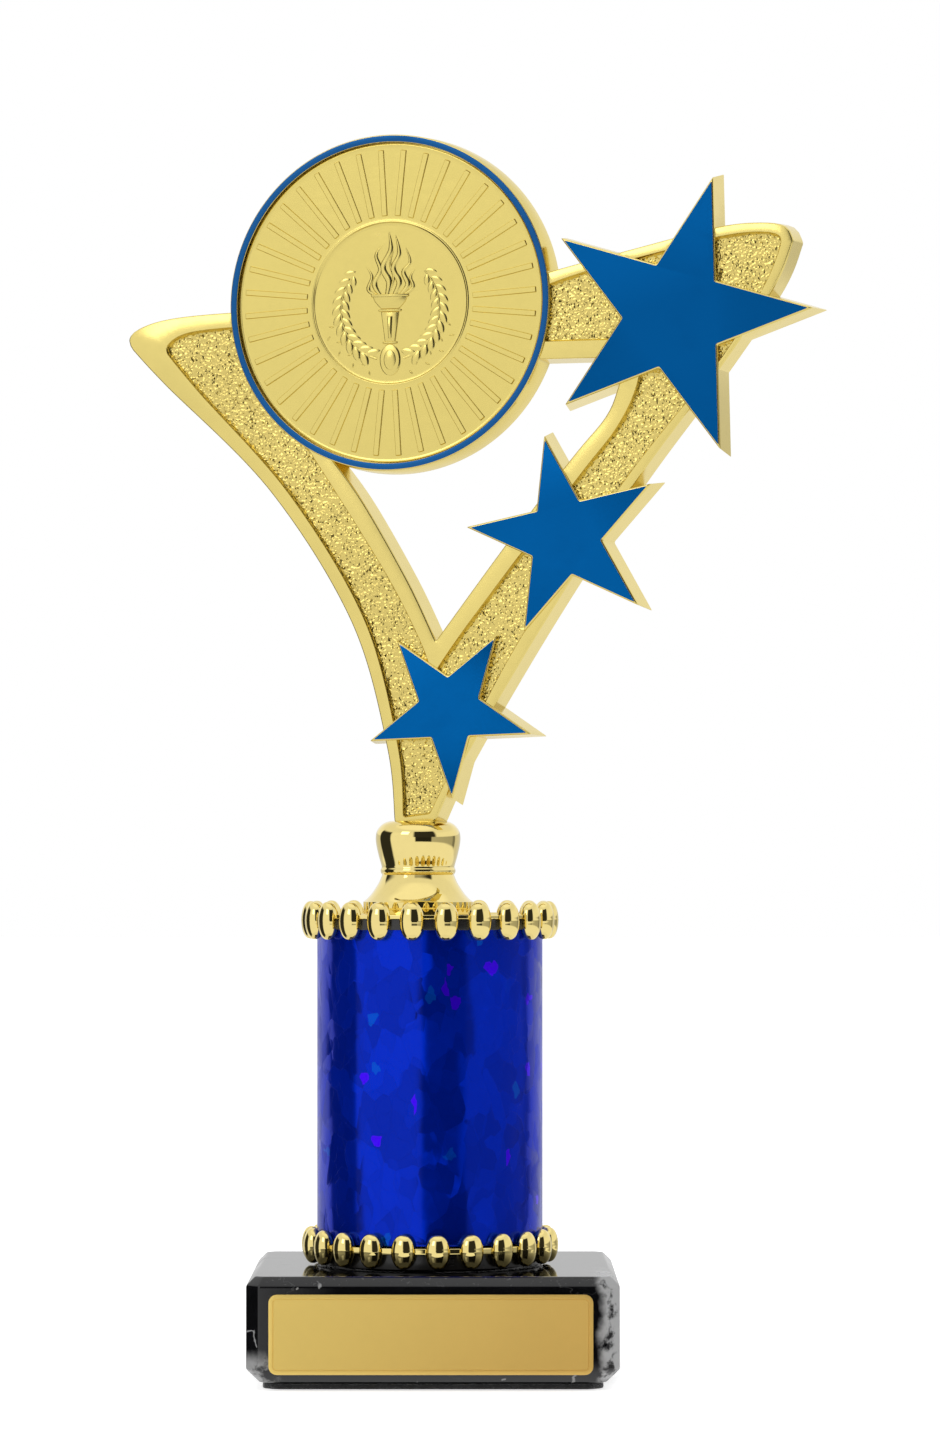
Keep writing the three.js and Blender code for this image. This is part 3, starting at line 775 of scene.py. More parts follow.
def plate_material(colours):
    """Brushed plate gold, with painted shade that makes it warmer and deeper towards its lower right."""
    material = metal("plate_gold", colours.plate_gold, (0.42, 0.5), 50.0, (3200.0, 0.000003, 0.1), 0.97)
    shader = material.node_tree.nodes["Principled BSDF"]
    shader.inputs["Metallic"].default_value = 0.55
    bench = Bench(material.node_tree)
    parts = bench.put("ShaderNodeSeparateXYZ", {0: object_place(bench)}).outputs
    fall = bench.math("SUBTRACT", parts["X"], parts["Z"])
    low, high = PLATE
    share = bench.between(fall, (low.x - high.z) * MM, (high.x - low.z) * MM)
    clean = shader.inputs["Base Color"].links[0].from_socket
    # Painted shade: the plate's colour is darkened and warmed towards its lower right.
    plate_painted_shade = bench.blend(share, grey(1.0), (0.84, 0.74, 0.68, 1.0))
    bench.feed(shader.inputs["Base Color"], bench.vector("MULTIPLY", clean, plate_painted_shade))
    return material


def foil(name, colour):
    """Satin hot-stamped foil with faint scuffs, and painted shade that makes it a little deeper towards the
    trophy's top.
    """
    material, bench, shader = new_material(name, Metallic=0.9, Specular_IOR_Level=0.1)
    tone = use_group(bench, "colour_drift", Light=opaque(colour), Dark=darker(colour, 0.93), Size=60.0)
    height = bench.put("ShaderNodeSeparateXYZ", {0: object_place(bench)}).outputs["Z"]
    # Painted shade: the foil's colour is darkened towards the trophy's top.
    high = bench.between(height, 0.1, 0.17)
    colour = bench.blend(high, tone.outputs["Colour"], darker(colour, 0.72))
    bench.feed(shader.inputs["Base Color"], colour)
    marked(bench, shader, (0.38, 0.46), 120.0)
    grained(bench, shader, 1400.0, 0.000002, 0.2)
    return material


def film_material(colours):
    """Blue holographic film in tilted facets under a clear gloss layer, with painted violet and cyan glints.
    """
    material, bench, shader = new_material(
        "blue_film", Metallic=0.68, Specular_IOR_Level=0.0, Coat_Weight=0.1, Coat_Roughness=0.03
    )
    ice = use_group(
        bench,
        "broken_ice",
        Deep=darker(colours.film_blue, 0.72),
        Bright=opaque(colours.film_blue),
        Violet=(0.055, 0.0, 0.95, 1.0),
        Cyan=(0.0, 0.10, 0.62, 1.0),
    )
    bench.feed(shader.inputs["Base Color"], ice.outputs["Colour"])
    bump = bench.put("ShaderNodeBump", {"Strength": 1.0, "Distance": 1.0, "Height": ice.outputs["Height"]})
    bench.feed(shader.inputs["Normal"], bump.outputs["Normal"])
    marked(bench, shader, (0.13, 0.2), 70.0)
    return material


def marble_material(colours):
    """Polished black marble with grey-white veins and a little dust on top."""
    material, bench, shader = new_material("marble", IOR=1.5)
    stone = use_group(bench, "stone_veins")
    cloud = use_group(
        bench, "colour_drift", Light=opaque(colours.marble), Dark=darker(colours.marble, 0.4), Size=160.0
    )
    colour = bench.blend(stone.outputs["White"], cloud.outputs["Colour"], opaque(colours.vein))
    dust = use_group(bench, "settled_dust", Amount=0.12, Specks=1800.0)
    colour = bench.blend(dust.outputs["Dust"], colour, (0.5, 0.5, 0.48, 1.0))
    bench.feed(shader.inputs["Base Color"], colour)
    marks = use_group(bench, "handling_marks", Clean=0.05, Worn=0.16, Size=70.0)
    rough = bench.math("MULTIPLY_ADD", stone.outputs["White"], 0.18, marks.outputs["Roughness"])
    bench.feed(shader.inputs["Roughness"], rough)
    grained(bench, shader, 900.0, 0.0000012, 0.4)
    return material


def felt_material(colours):
    """Short black felt."""
    material, bench, shader = new_material("felt", Sheen_Weight=0.5, Sheen_Roughness=0.5, Roughness=0.95)
    felt = opaque(colours.felt)
    tone = use_group(bench, "colour_drift", Light=felt, Dark=darker(felt, 0.35), Size=900.0)
    dust = use_group(bench, "settled_dust", Amount=0.25, Specks=900.0)
    colour = bench.blend(dust.outputs["Dust"], tone.outputs["Colour"], (0.35, 0.34, 0.33, 1.0))
    bench.feed(shader.inputs["Base Color"], colour)
    grained(bench, shader, 2600.0, 0.00012, 0.8)
    return material


def plastic(name, colour, roughness, grain):
    """A plain moulded or foamed plastic."""
    material, bench, shader = new_material(name, Metallic=0.0)
    tone = use_group(bench, "colour_drift", Light=opaque(colour), Dark=darker(colour, 0.85), Size=120.0)
    bench.feed(shader.inputs["Base Color"], tone.outputs["Colour"])
    marked(bench, shader, roughness, 150.0)
    grained(bench, shader, *grain)
    return material


# ---- Geometry Nodes trees ----


def geometry_group(name, inputs):
    """An empty Geometry Nodes tree with geometry in and out and named inputs."""
    sockets = [("Geometry", "NodeSocketGeometry", None), *inputs, ("Material", "NodeSocketMaterial", None)]
    outputs = [("Geometry", "NodeSocketGeometry", None)]
    bench, given, result = new_group(name, "GeometryNodeTree", sockets, outputs)
    bench.tree.is_modifier = True
    return bench, given, result


def finish_tree(bench, given, result, shape):
    """Ends a tree in Realize Instances and Set Material."""
    real = bench.put("GeometryNodeRealizeInstances", {0: shape}).outputs[0]
    dressed = bench.put("GeometryNodeSetMaterial", {"Geometry": real, "Material": given["Material"]})
    bench.feed(result["Geometry"], dressed.outputs[0])
    return bench.tree


def make_copies_round():
    """Copies of the given shape round a centre, its own +X outwards, with an optional lean to each side."""
    inputs = [
        ("Copies", "NodeSocketInt", 12),
        ("Start", FLOAT, 0.0),
        ("Step", FLOAT, 0.5),
        ("Radius", FLOAT, 0.01),
        ("Lean", FLOAT, 0.0),
        ("Stagger", FLOAT, 0.0),
        ("Last Size", FLOAT, 1.0),
        ("Centre", VECTOR, (0.0, 0.0, 0.0)),
        ("Turn", VECTOR, (0.0, 0.0, 0.0)),
    ]
    bench, given, result = geometry_group("copies_round", inputs)
    number = bench.put("GeometryNodeInputIndex").outputs[0]
    angle = bench.math("MULTIPLY_ADD", number, given["Step"], given["Start"])
    side = bench.math("MULTIPLY_ADD", bench.math("FLOORED_MODULO", number, 2.0), 2.0, -1.0)
    radius = bench.math("MULTIPLY_ADD", side, given["Stagger"], given["Radius"])
    x = bench.math("MULTIPLY", bench.math("COSINE", angle), radius)
    y = bench.math("MULTIPLY", bench.math("SINE", angle), radius)
    place = bench.put("ShaderNodeCombineXYZ", {0: x, 1: y, 2: 0.0}).outputs[0]
    points = bench.put("GeometryNodePoints", {"Count": given["Copies"], "Position": place}).outputs[0]
    lean = bench.math("MULTIPLY_ADD", side, given["Lean"], angle)
    turn = bench.put("ShaderNodeCombineXYZ", {0: 0.0, 1: 0.0, 2: lean}).outputs[0]
    last = bench.math("MAXIMUM", bench.math("SUBTRACT", given["Copies"], 1.0), 1.0)
    share = bench.math("DIVIDE", number, last)
    shrink = bench.math("SUBTRACT", given["Last Size"], 1.0)
    size = bench.math("MULTIPLY_ADD", share, shrink, 1.0)
    inputs = {"Points": points, "Instance": given["Geometry"], "Rotation": turn}
    placed = bench.put("GeometryNodeInstanceOnPoints", inputs)
    scale = bench.put("ShaderNodeCombineXYZ", {0: size, 1: size, 2: size}).outputs[0]
    bench.feed(placed.inputs["Scale"], scale)
    moved = bench.put(
        "GeometryNodeTransform",
        {"Geometry": placed.outputs[0], "Translation": given["Centre"], "Rotation": given["Turn"]},
    )
    return finish_tree(bench, given, result, moved.outputs[0])


def make_stipple():
    """Pushes the masked part of a surface out into small random bumps."""
    inputs = [
        ("Height", FLOAT, 0.0001),
        ("Grain", FLOAT, 5200.0),
        ("Seed", FLOAT, 3.0),
        ("Outwards", VECTOR, (0.0, -1.0, 0.0)),
    ]
    bench, given, result = geometry_group("stipple", inputs)
    mask = bench.put("GeometryNodeInputNamedAttribute", {"Name": "grain"}, data_type="FLOAT")
    mask = mask.outputs["Attribute"]
    place = bench.put("GeometryNodeInputPosition").outputs[0]
    grain = bench.put(
        "ShaderNodeTexNoise",
        {"Vector": place, "W": given["Seed"], "Scale": given["Grain"], "Detail": 0.0},
        noise_dimensions="4D",
    )
    rise = bench.math("MULTIPLY", bench.between(grain.outputs[0], 0.25, 0.75), given["Height"])
    push = bench.vector("SCALE", given["Outwards"], bench.math("MULTIPLY", rise, mask))
    moved = bench.put("GeometryNodeSetPosition", {"Geometry": given["Geometry"], "Offset": push})
    return finish_tree(bench, given, result, moved.outputs[0])


def make_screw_thread():
    """Cuts a helical thread into a plain round rod."""
    inputs = [("Pitch", FLOAT, 0.0008), ("Depth", FLOAT, 0.00035), ("Axis", FLOAT, 0.0)]
    bench, given, result = geometry_group("screw_thread", inputs)
    place = bench.put("GeometryNodeInputPosition").outputs[0]
    parts = bench.put("ShaderNodeSeparateXYZ", {0: place}).outputs
    x = bench.math("SUBTRACT", parts["X"], given["Axis"])
    turns = bench.math("DIVIDE", bench.math("ARCTAN2", parts["Y"], x), 2 * math.pi)
    rise = bench.math("SUBTRACT", bench.math("DIVIDE", parts["Z"], given["Pitch"]), turns)
    wave = bench.math("PINGPONG", rise, 0.5)
    cut = bench.math("MULTIPLY", bench.between(wave, 0.1, 0.4), given["Depth"])
    inwards = bench.put("ShaderNodeCombineXYZ", {0: x, 1: parts["Y"], 2: 0.0}).outputs[0]
    inwards = bench.vector("NORMALIZE", inwards)
    push = bench.vector("SCALE", inwards, bench.math("MULTIPLY", cut, -1.0))
    moved = bench.put("GeometryNodeSetPosition", {"Geometry": given["Geometry"], "Offset": push})
    return finish_tree(bench, given, result, moved.outputs[0])


def grown_by_tree(piece, tree_name, **values):
    """Runs a tree on a piece with its named inputs, and keeps the result as a plain mesh."""
    tree = bpy.data.node_groups[tree_name]
    modifier = piece.modifiers.new(tree_name, "NODES")
    modifier.node_group = tree
    sockets = {item.name: item.identifier for item in tree.interface.items_tree if item.in_out == "INPUT"}
    for key, value in values.items():
        modifier[sockets[key.replace("_", " ")]] = value
    return settled(piece)


# ---- settings ----


def length_setting(name, description, millimetres):
    """A length that a maker might change."""
    return bpy.props.FloatProperty(
        name=name, description=description, default=millimetres * MM, unit="LENGTH"
    )


def count_setting(name, description, default, low, high):
    """A number of things that a maker might change."""
    return bpy.props.IntProperty(
        name=name, description=description, default=default, min=low, max=high
    )


def colour_setting(name, description, default):
    """A colour that a maker might change."""
    return bpy.props.FloatVectorProperty(
        name=name, description=description, subtype="COLOR", size=3, min=0, max=1, default=default
    )


class TrophySizes(bpy.types.PropertyGroup):
    """Sizes that a maker might change."""

    bead_count: count_setting("Beads", "Beads round each ring", 22, 6, 60)
    bead_depth: length_setting("Bead depth", "Bead size towards the column", 3.1)
    bead_width: length_setting("Bead width", "Bead size round the ring", 3.85)
    bead_height: length_setting("Bead height", "Size up the column of an upper bead", 5.95)
    lower_bead_height: length_setting("Lower bead height", "Size up the column of a lower bead", 5.45)
    bead_circle: length_setting("Bead circle", "Radius of the circle of bead centres", 18.65)
    edge_softness: length_setting("Edge softness", "Width of the riser's soft edges", 0.2)
    grain_height: length_setting("Grain height", "Height of the field's stipple", 0.13)
    grain_spacing: length_setting("Grain spacing", "Spacing of the stippled surface's points", 0.18)
    ray_count: count_setting("Rays", "Raised rays on the medal", 40, 8, 90)
    ray_width: length_setting("Ray width", "Width of one ray", 0.86)
    leaf_count: count_setting("Leaves", "Leaves on each branch of the wreath", 22, 4, 40)
    thread_pitch: length_setting("Thread pitch", "Rise of the rod's thread for each turn", 0.8)
    plate_border: length_setting("Plate border", "From the plate's edge to its engraved line", 0.6)


class TrophyColours(bpy.types.PropertyGroup):
    """Colours that a maker might change."""

    riser_gold: colour_setting("Riser gold", "Satin gold of the star riser", (0.80, 0.65, 0.21))
    bright_gold: colour_setting("Bright gold", "Mirror gold of the neck and beads", (0.88, 0.72, 0.28))
    medal_gold: colour_setting("Medal gold", "Gold of the round insert", (0.76, 0.62, 0.19))
    plate_gold: colour_setting("Plate gold", "Satin gold of the name plate", (0.88, 0.64, 0.17))
    star_blue: colour_setting("Star blue", "Foil on the stars", (0.0005, 0.115, 0.38))
    ring_blue: colour_setting("Ring blue", "Foil on the medal's ring", (0.018, 0.13, 0.38))
    film_blue: colour_setting("Film blue", "Holographic film on the column", (0.0005, 0.024, 0.56))
    marble: colour_setting("Marble", "Ground colour of the block", (0.004, 0.004, 0.005))
    vein: colour_setting("Veins", "Veins and patches in the block", (0.42, 0.42, 0.42))
    felt: colour_setting("Felt", "Pad under the block", (0.02, 0.02, 0.022))


# ---- operators ----


class TrophyOperator:
    """What the trophy's operators share."""

    bl_options = {"REGISTER", "UNDO"}

    @property
    def sizes(self):
        return bpy.context.scene.trophy_sizes

    @property
    def colours(self):
        return bpy.context.scene.trophy_colours

    def material(self, name):
        """One of the finished materials."""
        if FINISH_PREFIX + name not in bpy.data.materials:
            raise RuntimeError(f"material {name} isn't made yet")
        return bpy.data.materials[FINISH_PREFIX + name]


class TROPHY_OT_materials(TrophyOperator, bpy.types.Operator):
    """Make the shared node groups and every finish"""

    bl_idname = "trophy.materials"
    bl_label = "Materials"

    def execute(self, context):
        makers = (
            make_handling_marks,
            make_colour_drift,
            make_fine_grain,
            make_settled_dust,
            make_stone_veins,
            make_broken_ice,
            make_copies_round,
            make_stipple,
            make_screw_thread,
        )
        for make in makers:
            make()
        colours = self.colours
        metal("plated_gold", colours.bright_gold, (0.035, 0.1), 120.0, (700.0, 0.0000015, 0.2), 0.94)
        riser_material(colours)
        metal("medal_gold", colours.medal_gold, (0.2, 0.3), 80.0, (1500.0, 0.000004, 0.3), 0.95)
        plate_material(colours)
        metal("steel", (0.46, 0.48, 0.5), (0.25, 0.4), 150.0, (1800.0, 0.000006, 0.3))
        metal("insert_brass", (0.55, 0.37, 0.08), (0.25, 0.4), 150.0, (1800.0, 0.000006, 0.3))
        foil("star_blue", colours.star_blue)
        foil("ring_blue", colours.ring_blue)
        film_material(colours)
        marble_material(colours)
        felt_material(colours)
        plastic("tape", (0.78, 0.77, 0.73), (0.7, 0.85), (1600.0, 0.00004, 0.8))
        plastic("tube_plastic", (0.7, 0.7, 0.68), (0.4, 0.55), (900.0, 0.00001, 0.3))
        # Dark plastic for the collar and foot under the bead rings: partly real dark parts, partly painted
        # shade and dark reflection between the beads.
        plastic("dark_shade_plastic", (0.02, 0.019, 0.018), (0.2, 0.35), (900.0, 0.000004, 0.3))
        return {"FINISHED"}


class TROPHY_OT_marble_block(TrophyOperator, bpy.types.Operator):
    """Make the chamfered marble block with its bored underside"""

    bl_idname = "trophy.marble_block"
    bl_label = "Marble block"

    CORNER_CUT = 2.0
    FOOT_CUT = 2.1
    TOP_CUT = 1.4
    FLAT_HOLD = 0.8
    # Radius and top of each bore.
    NUT_RECESS = (13.0, 8.4)
    ROD_HOLE = (5.5, BLOCK[1].z + 5)

    def execute(self, context):
        low, high = BLOCK
        corners = cut_square((high.x - low.x) / 2, self.CORNER_CUT)
        edges = [
            (self.FOOT_CUT + self.FLAT_HOLD, low.z), (self.FOOT_CUT, low.z),
            (0, low.z + self.FOOT_CUT), (0, high.z - self.TOP_CUT),
            (self.TOP_CUT, high.z), (self.TOP_CUT + self.FLAT_HOLD, high.z),
        ]
        profile = softened(edges, 0.3, 3, closed=False)
        levels = [(softened(grown(corners, -inset), 0.2, 3), z) for inset, z in profile]
        block = solid_object("marble_block", *stacked(levels, lying), 18.0)
        for radius, top in (self.NUT_RECESS, self.ROD_HOLE):
            bore = [(0, low.z - 5), (radius, low.z - 5), (radius, top), (0, top)]
            bore = solid_object("bore", *revolved(bore, 64, around_rod))
            block = combined(block, bore, "DIFFERENCE")
        shade(block.data, 18.0)
        handed_in(block, "stand", "marble", self.material("marble"), "marble_base")
        return {"FINISHED"}


class TROPHY_OT_felt_pad(TrophyOperator, bpy.types.Operator):
    """Make the felt pad with its soft, slightly uneven edge"""

    bl_idname = "trophy.felt_pad"
    bl_label = "Felt pad"

    CORNER_CUT = 2
    STEP = 0.35
    TUFT = 0.09
    # The pad's edge: the share of its thickness, and how far the edge is inset there.
    EDGE = ((0.0, 0.9), (0.0, 0.25), (0.12, 0.06), (0.5, 0.0), (0.88, 0.06), (1.0, 0.25), (1.0, 0.9))

    def execute(self, context):
        low, high = FELT
        half = (high.x - low.x) / 2 - 0.12
        corners = softened(cut_square(half, self.CORNER_CUT), 0.8, 4)
        plan = []
        for a, b in zip(corners, corners[1:] + corners[:1]):
            a, b = Vector(a), Vector(b)
            steps = max(1, int((b - a).length / self.STEP))
            plan += [tuple(a.lerp(b, k / steps)) for k in range(steps)]
        levels = []
        thick = high.z - low.z
        for share, inset in self.EDGE:
            ring = []
            for x, y in grown(plan, -inset):
                tuft = field_noise.noise(Vector((x * 2.2, y * 2.2, share * 3))) * self.TUFT
                ring.append((x * (1 + tuft / half), y * (1 + tuft / half)))
            levels.append((ring, low.z + thick * share))
        pad = solid_object("felt_pad", *stacked(levels, lying), 50.0)
        handed_in(pad, "stand", "felt", self.material("felt"), "base_felt")
        return {"FINISHED"}


class TROPHY_OT_name_plate(TrophyOperator, bpy.types.Operator):
    """Make the blank name plate with soft edges and an engraved border line"""

    bl_idname = "trophy.name_plate"
    bl_label = "Name plate"

    CORNER_RADIUS = 1.3
    LINE_DEPTH = 0.07

    def execute(self, context):
        low, high = PLATE
        middle = ((low.x + high.x) / 2, (low.z + high.z) / 2)
        outline = rounded_rectangle(middle, high.x - low.x, high.z - low.z, self.CORNER_RADIUS)
        back, front = high.y, low.y
        border = self.sizes.plate_border / MM
        steps = [
            (0.0, back), (0.0, front + 0.12), (-0.04, front + 0.03), (-0.12, front),
            (-border, front), (-border - 0.05, front + self.LINE_DEPTH),
            (-border - 0.14, front + self.LINE_DEPTH), (-border - 0.19, front),
        ]
        levels = [(grown(outline, inset), y) for inset, y in steps]
        plate = solid_object("plate", *stacked(levels, standing), 40.0)
        handed_in(plate, "stand", "plate_gold", self.material("plate_gold"), "name_plate")
        return {"FINISHED"}


class TROPHY_OT_bead_rings(TrophyOperator, bpy.types.Operator):
    """Make both bead rings: their plates and collars, and the beads round them"""

    bl_idname = "trophy.bead_rings"
    bl_label = "Bead rings"

    # The foot and top of each ring's plate, the height of its beads' middles, and the angle of a bead.
    LOWER_PLATE = (19.9, 20.9)
    UPPER_PLATE = (71.1, 71.8)
    LOWER_LEVEL, UPPER_LEVEL = 20.4, 71.25
    LOWER_START, UPPER_START = -90 + 4.1, -90 + 8.18
    HOLE = 5
    PLATE_RADIUS = 18.75
    SPIGOT_INNER, SPIGOT_OUTER = 14.3, 15.75
    SPIGOT_LENGTH = 5
    FOOT_RADIUS = 17.7
    COLLAR_INNER, COLLAR_OUTER = 17.8, 18.35
    COLLAR_FOOT = 69.9

    def bead(self, name, tall):
        """One bead about the origin, +X outwards, with the seam that its mould leaves at mid-height."""
        sizes = self.sizes
        a, b, c = (size / 2 / MM for size in (sizes.bead_depth, sizes.bead_width, tall))
        rows = [math.radians(t) for t in (-90, -82, -73, -64, -55, -46, -37, -28, -19, -10, -2.2)]
        rows += [0.0] + [-t for t in reversed(rows)]
        profile = []
        for t in rows:
            seam = 1.012 if t == 0 else 1.0
            profile.append((math.cos(t) ** 0.85 * seam if abs(t) < 1.57 else 0.0, math.sin(t)))
        points, faces = revolved(profile, 40, lambda x, y, z: (x * a, y * b, z * c))
        return solid_object(name, points, faces, 60.0)

    def beads(self, name, tall, level, start, node):
        """A whole ring of beads at that level."""
        count = self.sizes.bead_count
        ring = grown_by_tree(
            self.bead(name, tall),
            "copies_round",
            Copies=count,
            Start=math.radians(start),
            Step=2 * math.pi / count,
            Radius=self.sizes.bead_circle,
            Centre=(COLUMN_X * MM, 0.0, level * MM),
            Material=self.material("plated_gold"),
        )
        handed_in(ring, "stand", "plated_gold", None, node)

    def turned(self, name, profile, softness, finish, node):
        """A part of a ring, turned about the column's axis."""
        part = solid_object(name, *revolved(softened(profile, softness), 128, around_column))
        handed_in(part, "stand", "plated_gold", self.material(finish), node)

    def lower_ring(self):
        """The lower ring's plate with its spigot, and the dark foot under it, whose darkness is partly
        painted shade.
        """
        low, high = self.LOWER_PLATE
        inner, outer, top = self.SPIGOT_INNER, self.SPIGOT_OUTER, high + self.SPIGOT_LENGTH
        bed = [
            (inner, low), (self.PLATE_RADIUS, low), (self.PLATE_RADIUS, high), (outer, high),
            (outer, top), (inner, top), (inner, high), (self.HOLE, high), (self.HOLE, low),
        ]
        self.turned("lower_plate", bed, 0.18, "plated_gold", "lower_bead_ring")
        foot = [
            (inner, LOWER[0].z), (self.FOOT_RADIUS, LOWER[0].z),
            (self.FOOT_RADIUS, low + 0.02), (inner, low + 0.02),
        ]
        self.turned("lower_foot", foot, 0.12, "dark_shade_plastic", "lower_bead_ring")

    def upper_ring(self):
        """The upper ring's plate with its raised rim and spigot, and the dark collar under it, whose darkness
        is partly painted shade.
        """
        low, high = self.UPPER_PLATE
        inner, outer, foot = self.SPIGOT_INNER, self.SPIGOT_OUTER, low - self.SPIGOT_LENGTH
        head = [
            (inner, foot), (outer, foot), (outer, low), (17.6, low), (17.7, low + 0.5),
            (self.PLATE_RADIUS, low + 0.5), (self.PLATE_RADIUS, high + 0.45), (17.4, high + 0.45),
            (16.8, high), (self.HOLE, high), (self.HOLE, low), (inner, low),
        ]
        self.turned("upper_plate", head, 0.14, "plated_gold", "upper_bead_ring")
        collar = [
            (self.COLLAR_INNER, self.COLLAR_FOOT), (self.COLLAR_OUTER, self.COLLAR_FOOT),
            (self.COLLAR_OUTER, low + 0.48), (self.COLLAR_INNER, low + 0.48),
        ]
        self.turned("upper_collar", collar, 0.12, "dark_shade_plastic", "upper_bead_ring")

    def execute(self, context):
        sizes = self.sizes
        self.lower_ring()
        self.upper_ring()
        tall, level, start = sizes.lower_bead_height, self.LOWER_LEVEL, self.LOWER_START
        self.beads("lower_beads", tall, level, start, "lower_bead_ring")
        tall, level, start = sizes.bead_height, self.UPPER_LEVEL, self.UPPER_START
        self.beads("upper_beads", tall, level, start, "upper_bead_ring")
        return {"FINISHED"}


class TROPHY_OT_column_film(TrophyOperator, bpy.types.Operator):
    """Make the film round the column, with the lap where its ends meet at the back"""

    bl_idname = "trophy.column_film"
    bl_label = "Column film"

    LAP_FROM, LAP_TO = 82.0, 97.0
    LAP_RISE = 0.12
    LAP_SLOPE = 3
    THICKNESS = 0.25

    def lap(self, angle):
        """How far the film stands out at that angle."""
        degrees = math.degrees(angle) % 360
        if not self.LAP_FROM < degrees < self.LAP_TO:
            return 0.0
        return self.LAP_RISE * min(1.0, (degrees - self.LAP_FROM) / self.LAP_SLOPE)

    def execute(self, context):
        low, high = FILM
        radius = high.y
        inner = radius - self.THICKNESS
        ends = [(radius, low.z), (radius, low.z + 0.5), (radius, high.z - 0.5), (radius, high.z)]
        wall = softened([(inner, low.z)] + ends + [(inner, high.z)], 0.06, 2)
        film = solid_object("film", *revolved(wall, 240, around_column, self.lap), 40.0)
        handed_in(film, "stand", "blue_film", self.material("blue_film"), "column_film")
        return {"FINISHED"}


class TROPHY_OT_neck(TrophyOperator, bpy.types.Operator):
    """Make the turned neck"""

    bl_idname = "trophy.neck"
    bl_label = "Neck"

    SHOULDER = [(8.6, 74.1), (8.2, 74.4), (7.5, 75.1), (6.9, 75.9), (6.1, 77.2), (5.62, 78.35)]
    BULB = [
        (5.62, 78.35), (5.84, 78.7), (5.88, 79.1), (5.72, 79.5), (5.78, 79.9), (6.2, 81.4),
        (6.55, 83), (6.65, 84.2), (6.45, 85.2), (5.8, 86.1), (5, 86.6), (4.2, 86.8),
    ]
    # The bore for the rod and its bush: its radius and its top.
    BORE = (3.85, 80.6)

    def execute(self, context):
        bottom = NECK[0].z
        radius, top = self.BORE
        profile = [(0, top), (radius, top), (radius, bottom), (8.4, bottom)]
        profile += [(8.55, bottom + 0.1), (8.6, bottom + 0.3), (8.6, 73.9)]
        profile += smooth_outline([self.SHOULDER], 0.25) + smooth_outline([self.BULB], 0.2)
        profile += [self.BULB[-1], (0, self.BULB[-1][1])]
        neck = solid_object("turned_neck", *revolved(profile, 128, around_rod), 38.0)
        handed_in(neck, "topper", "plated_gold", self.material("plated_gold"), "neck")
        return {"FINISHED"}


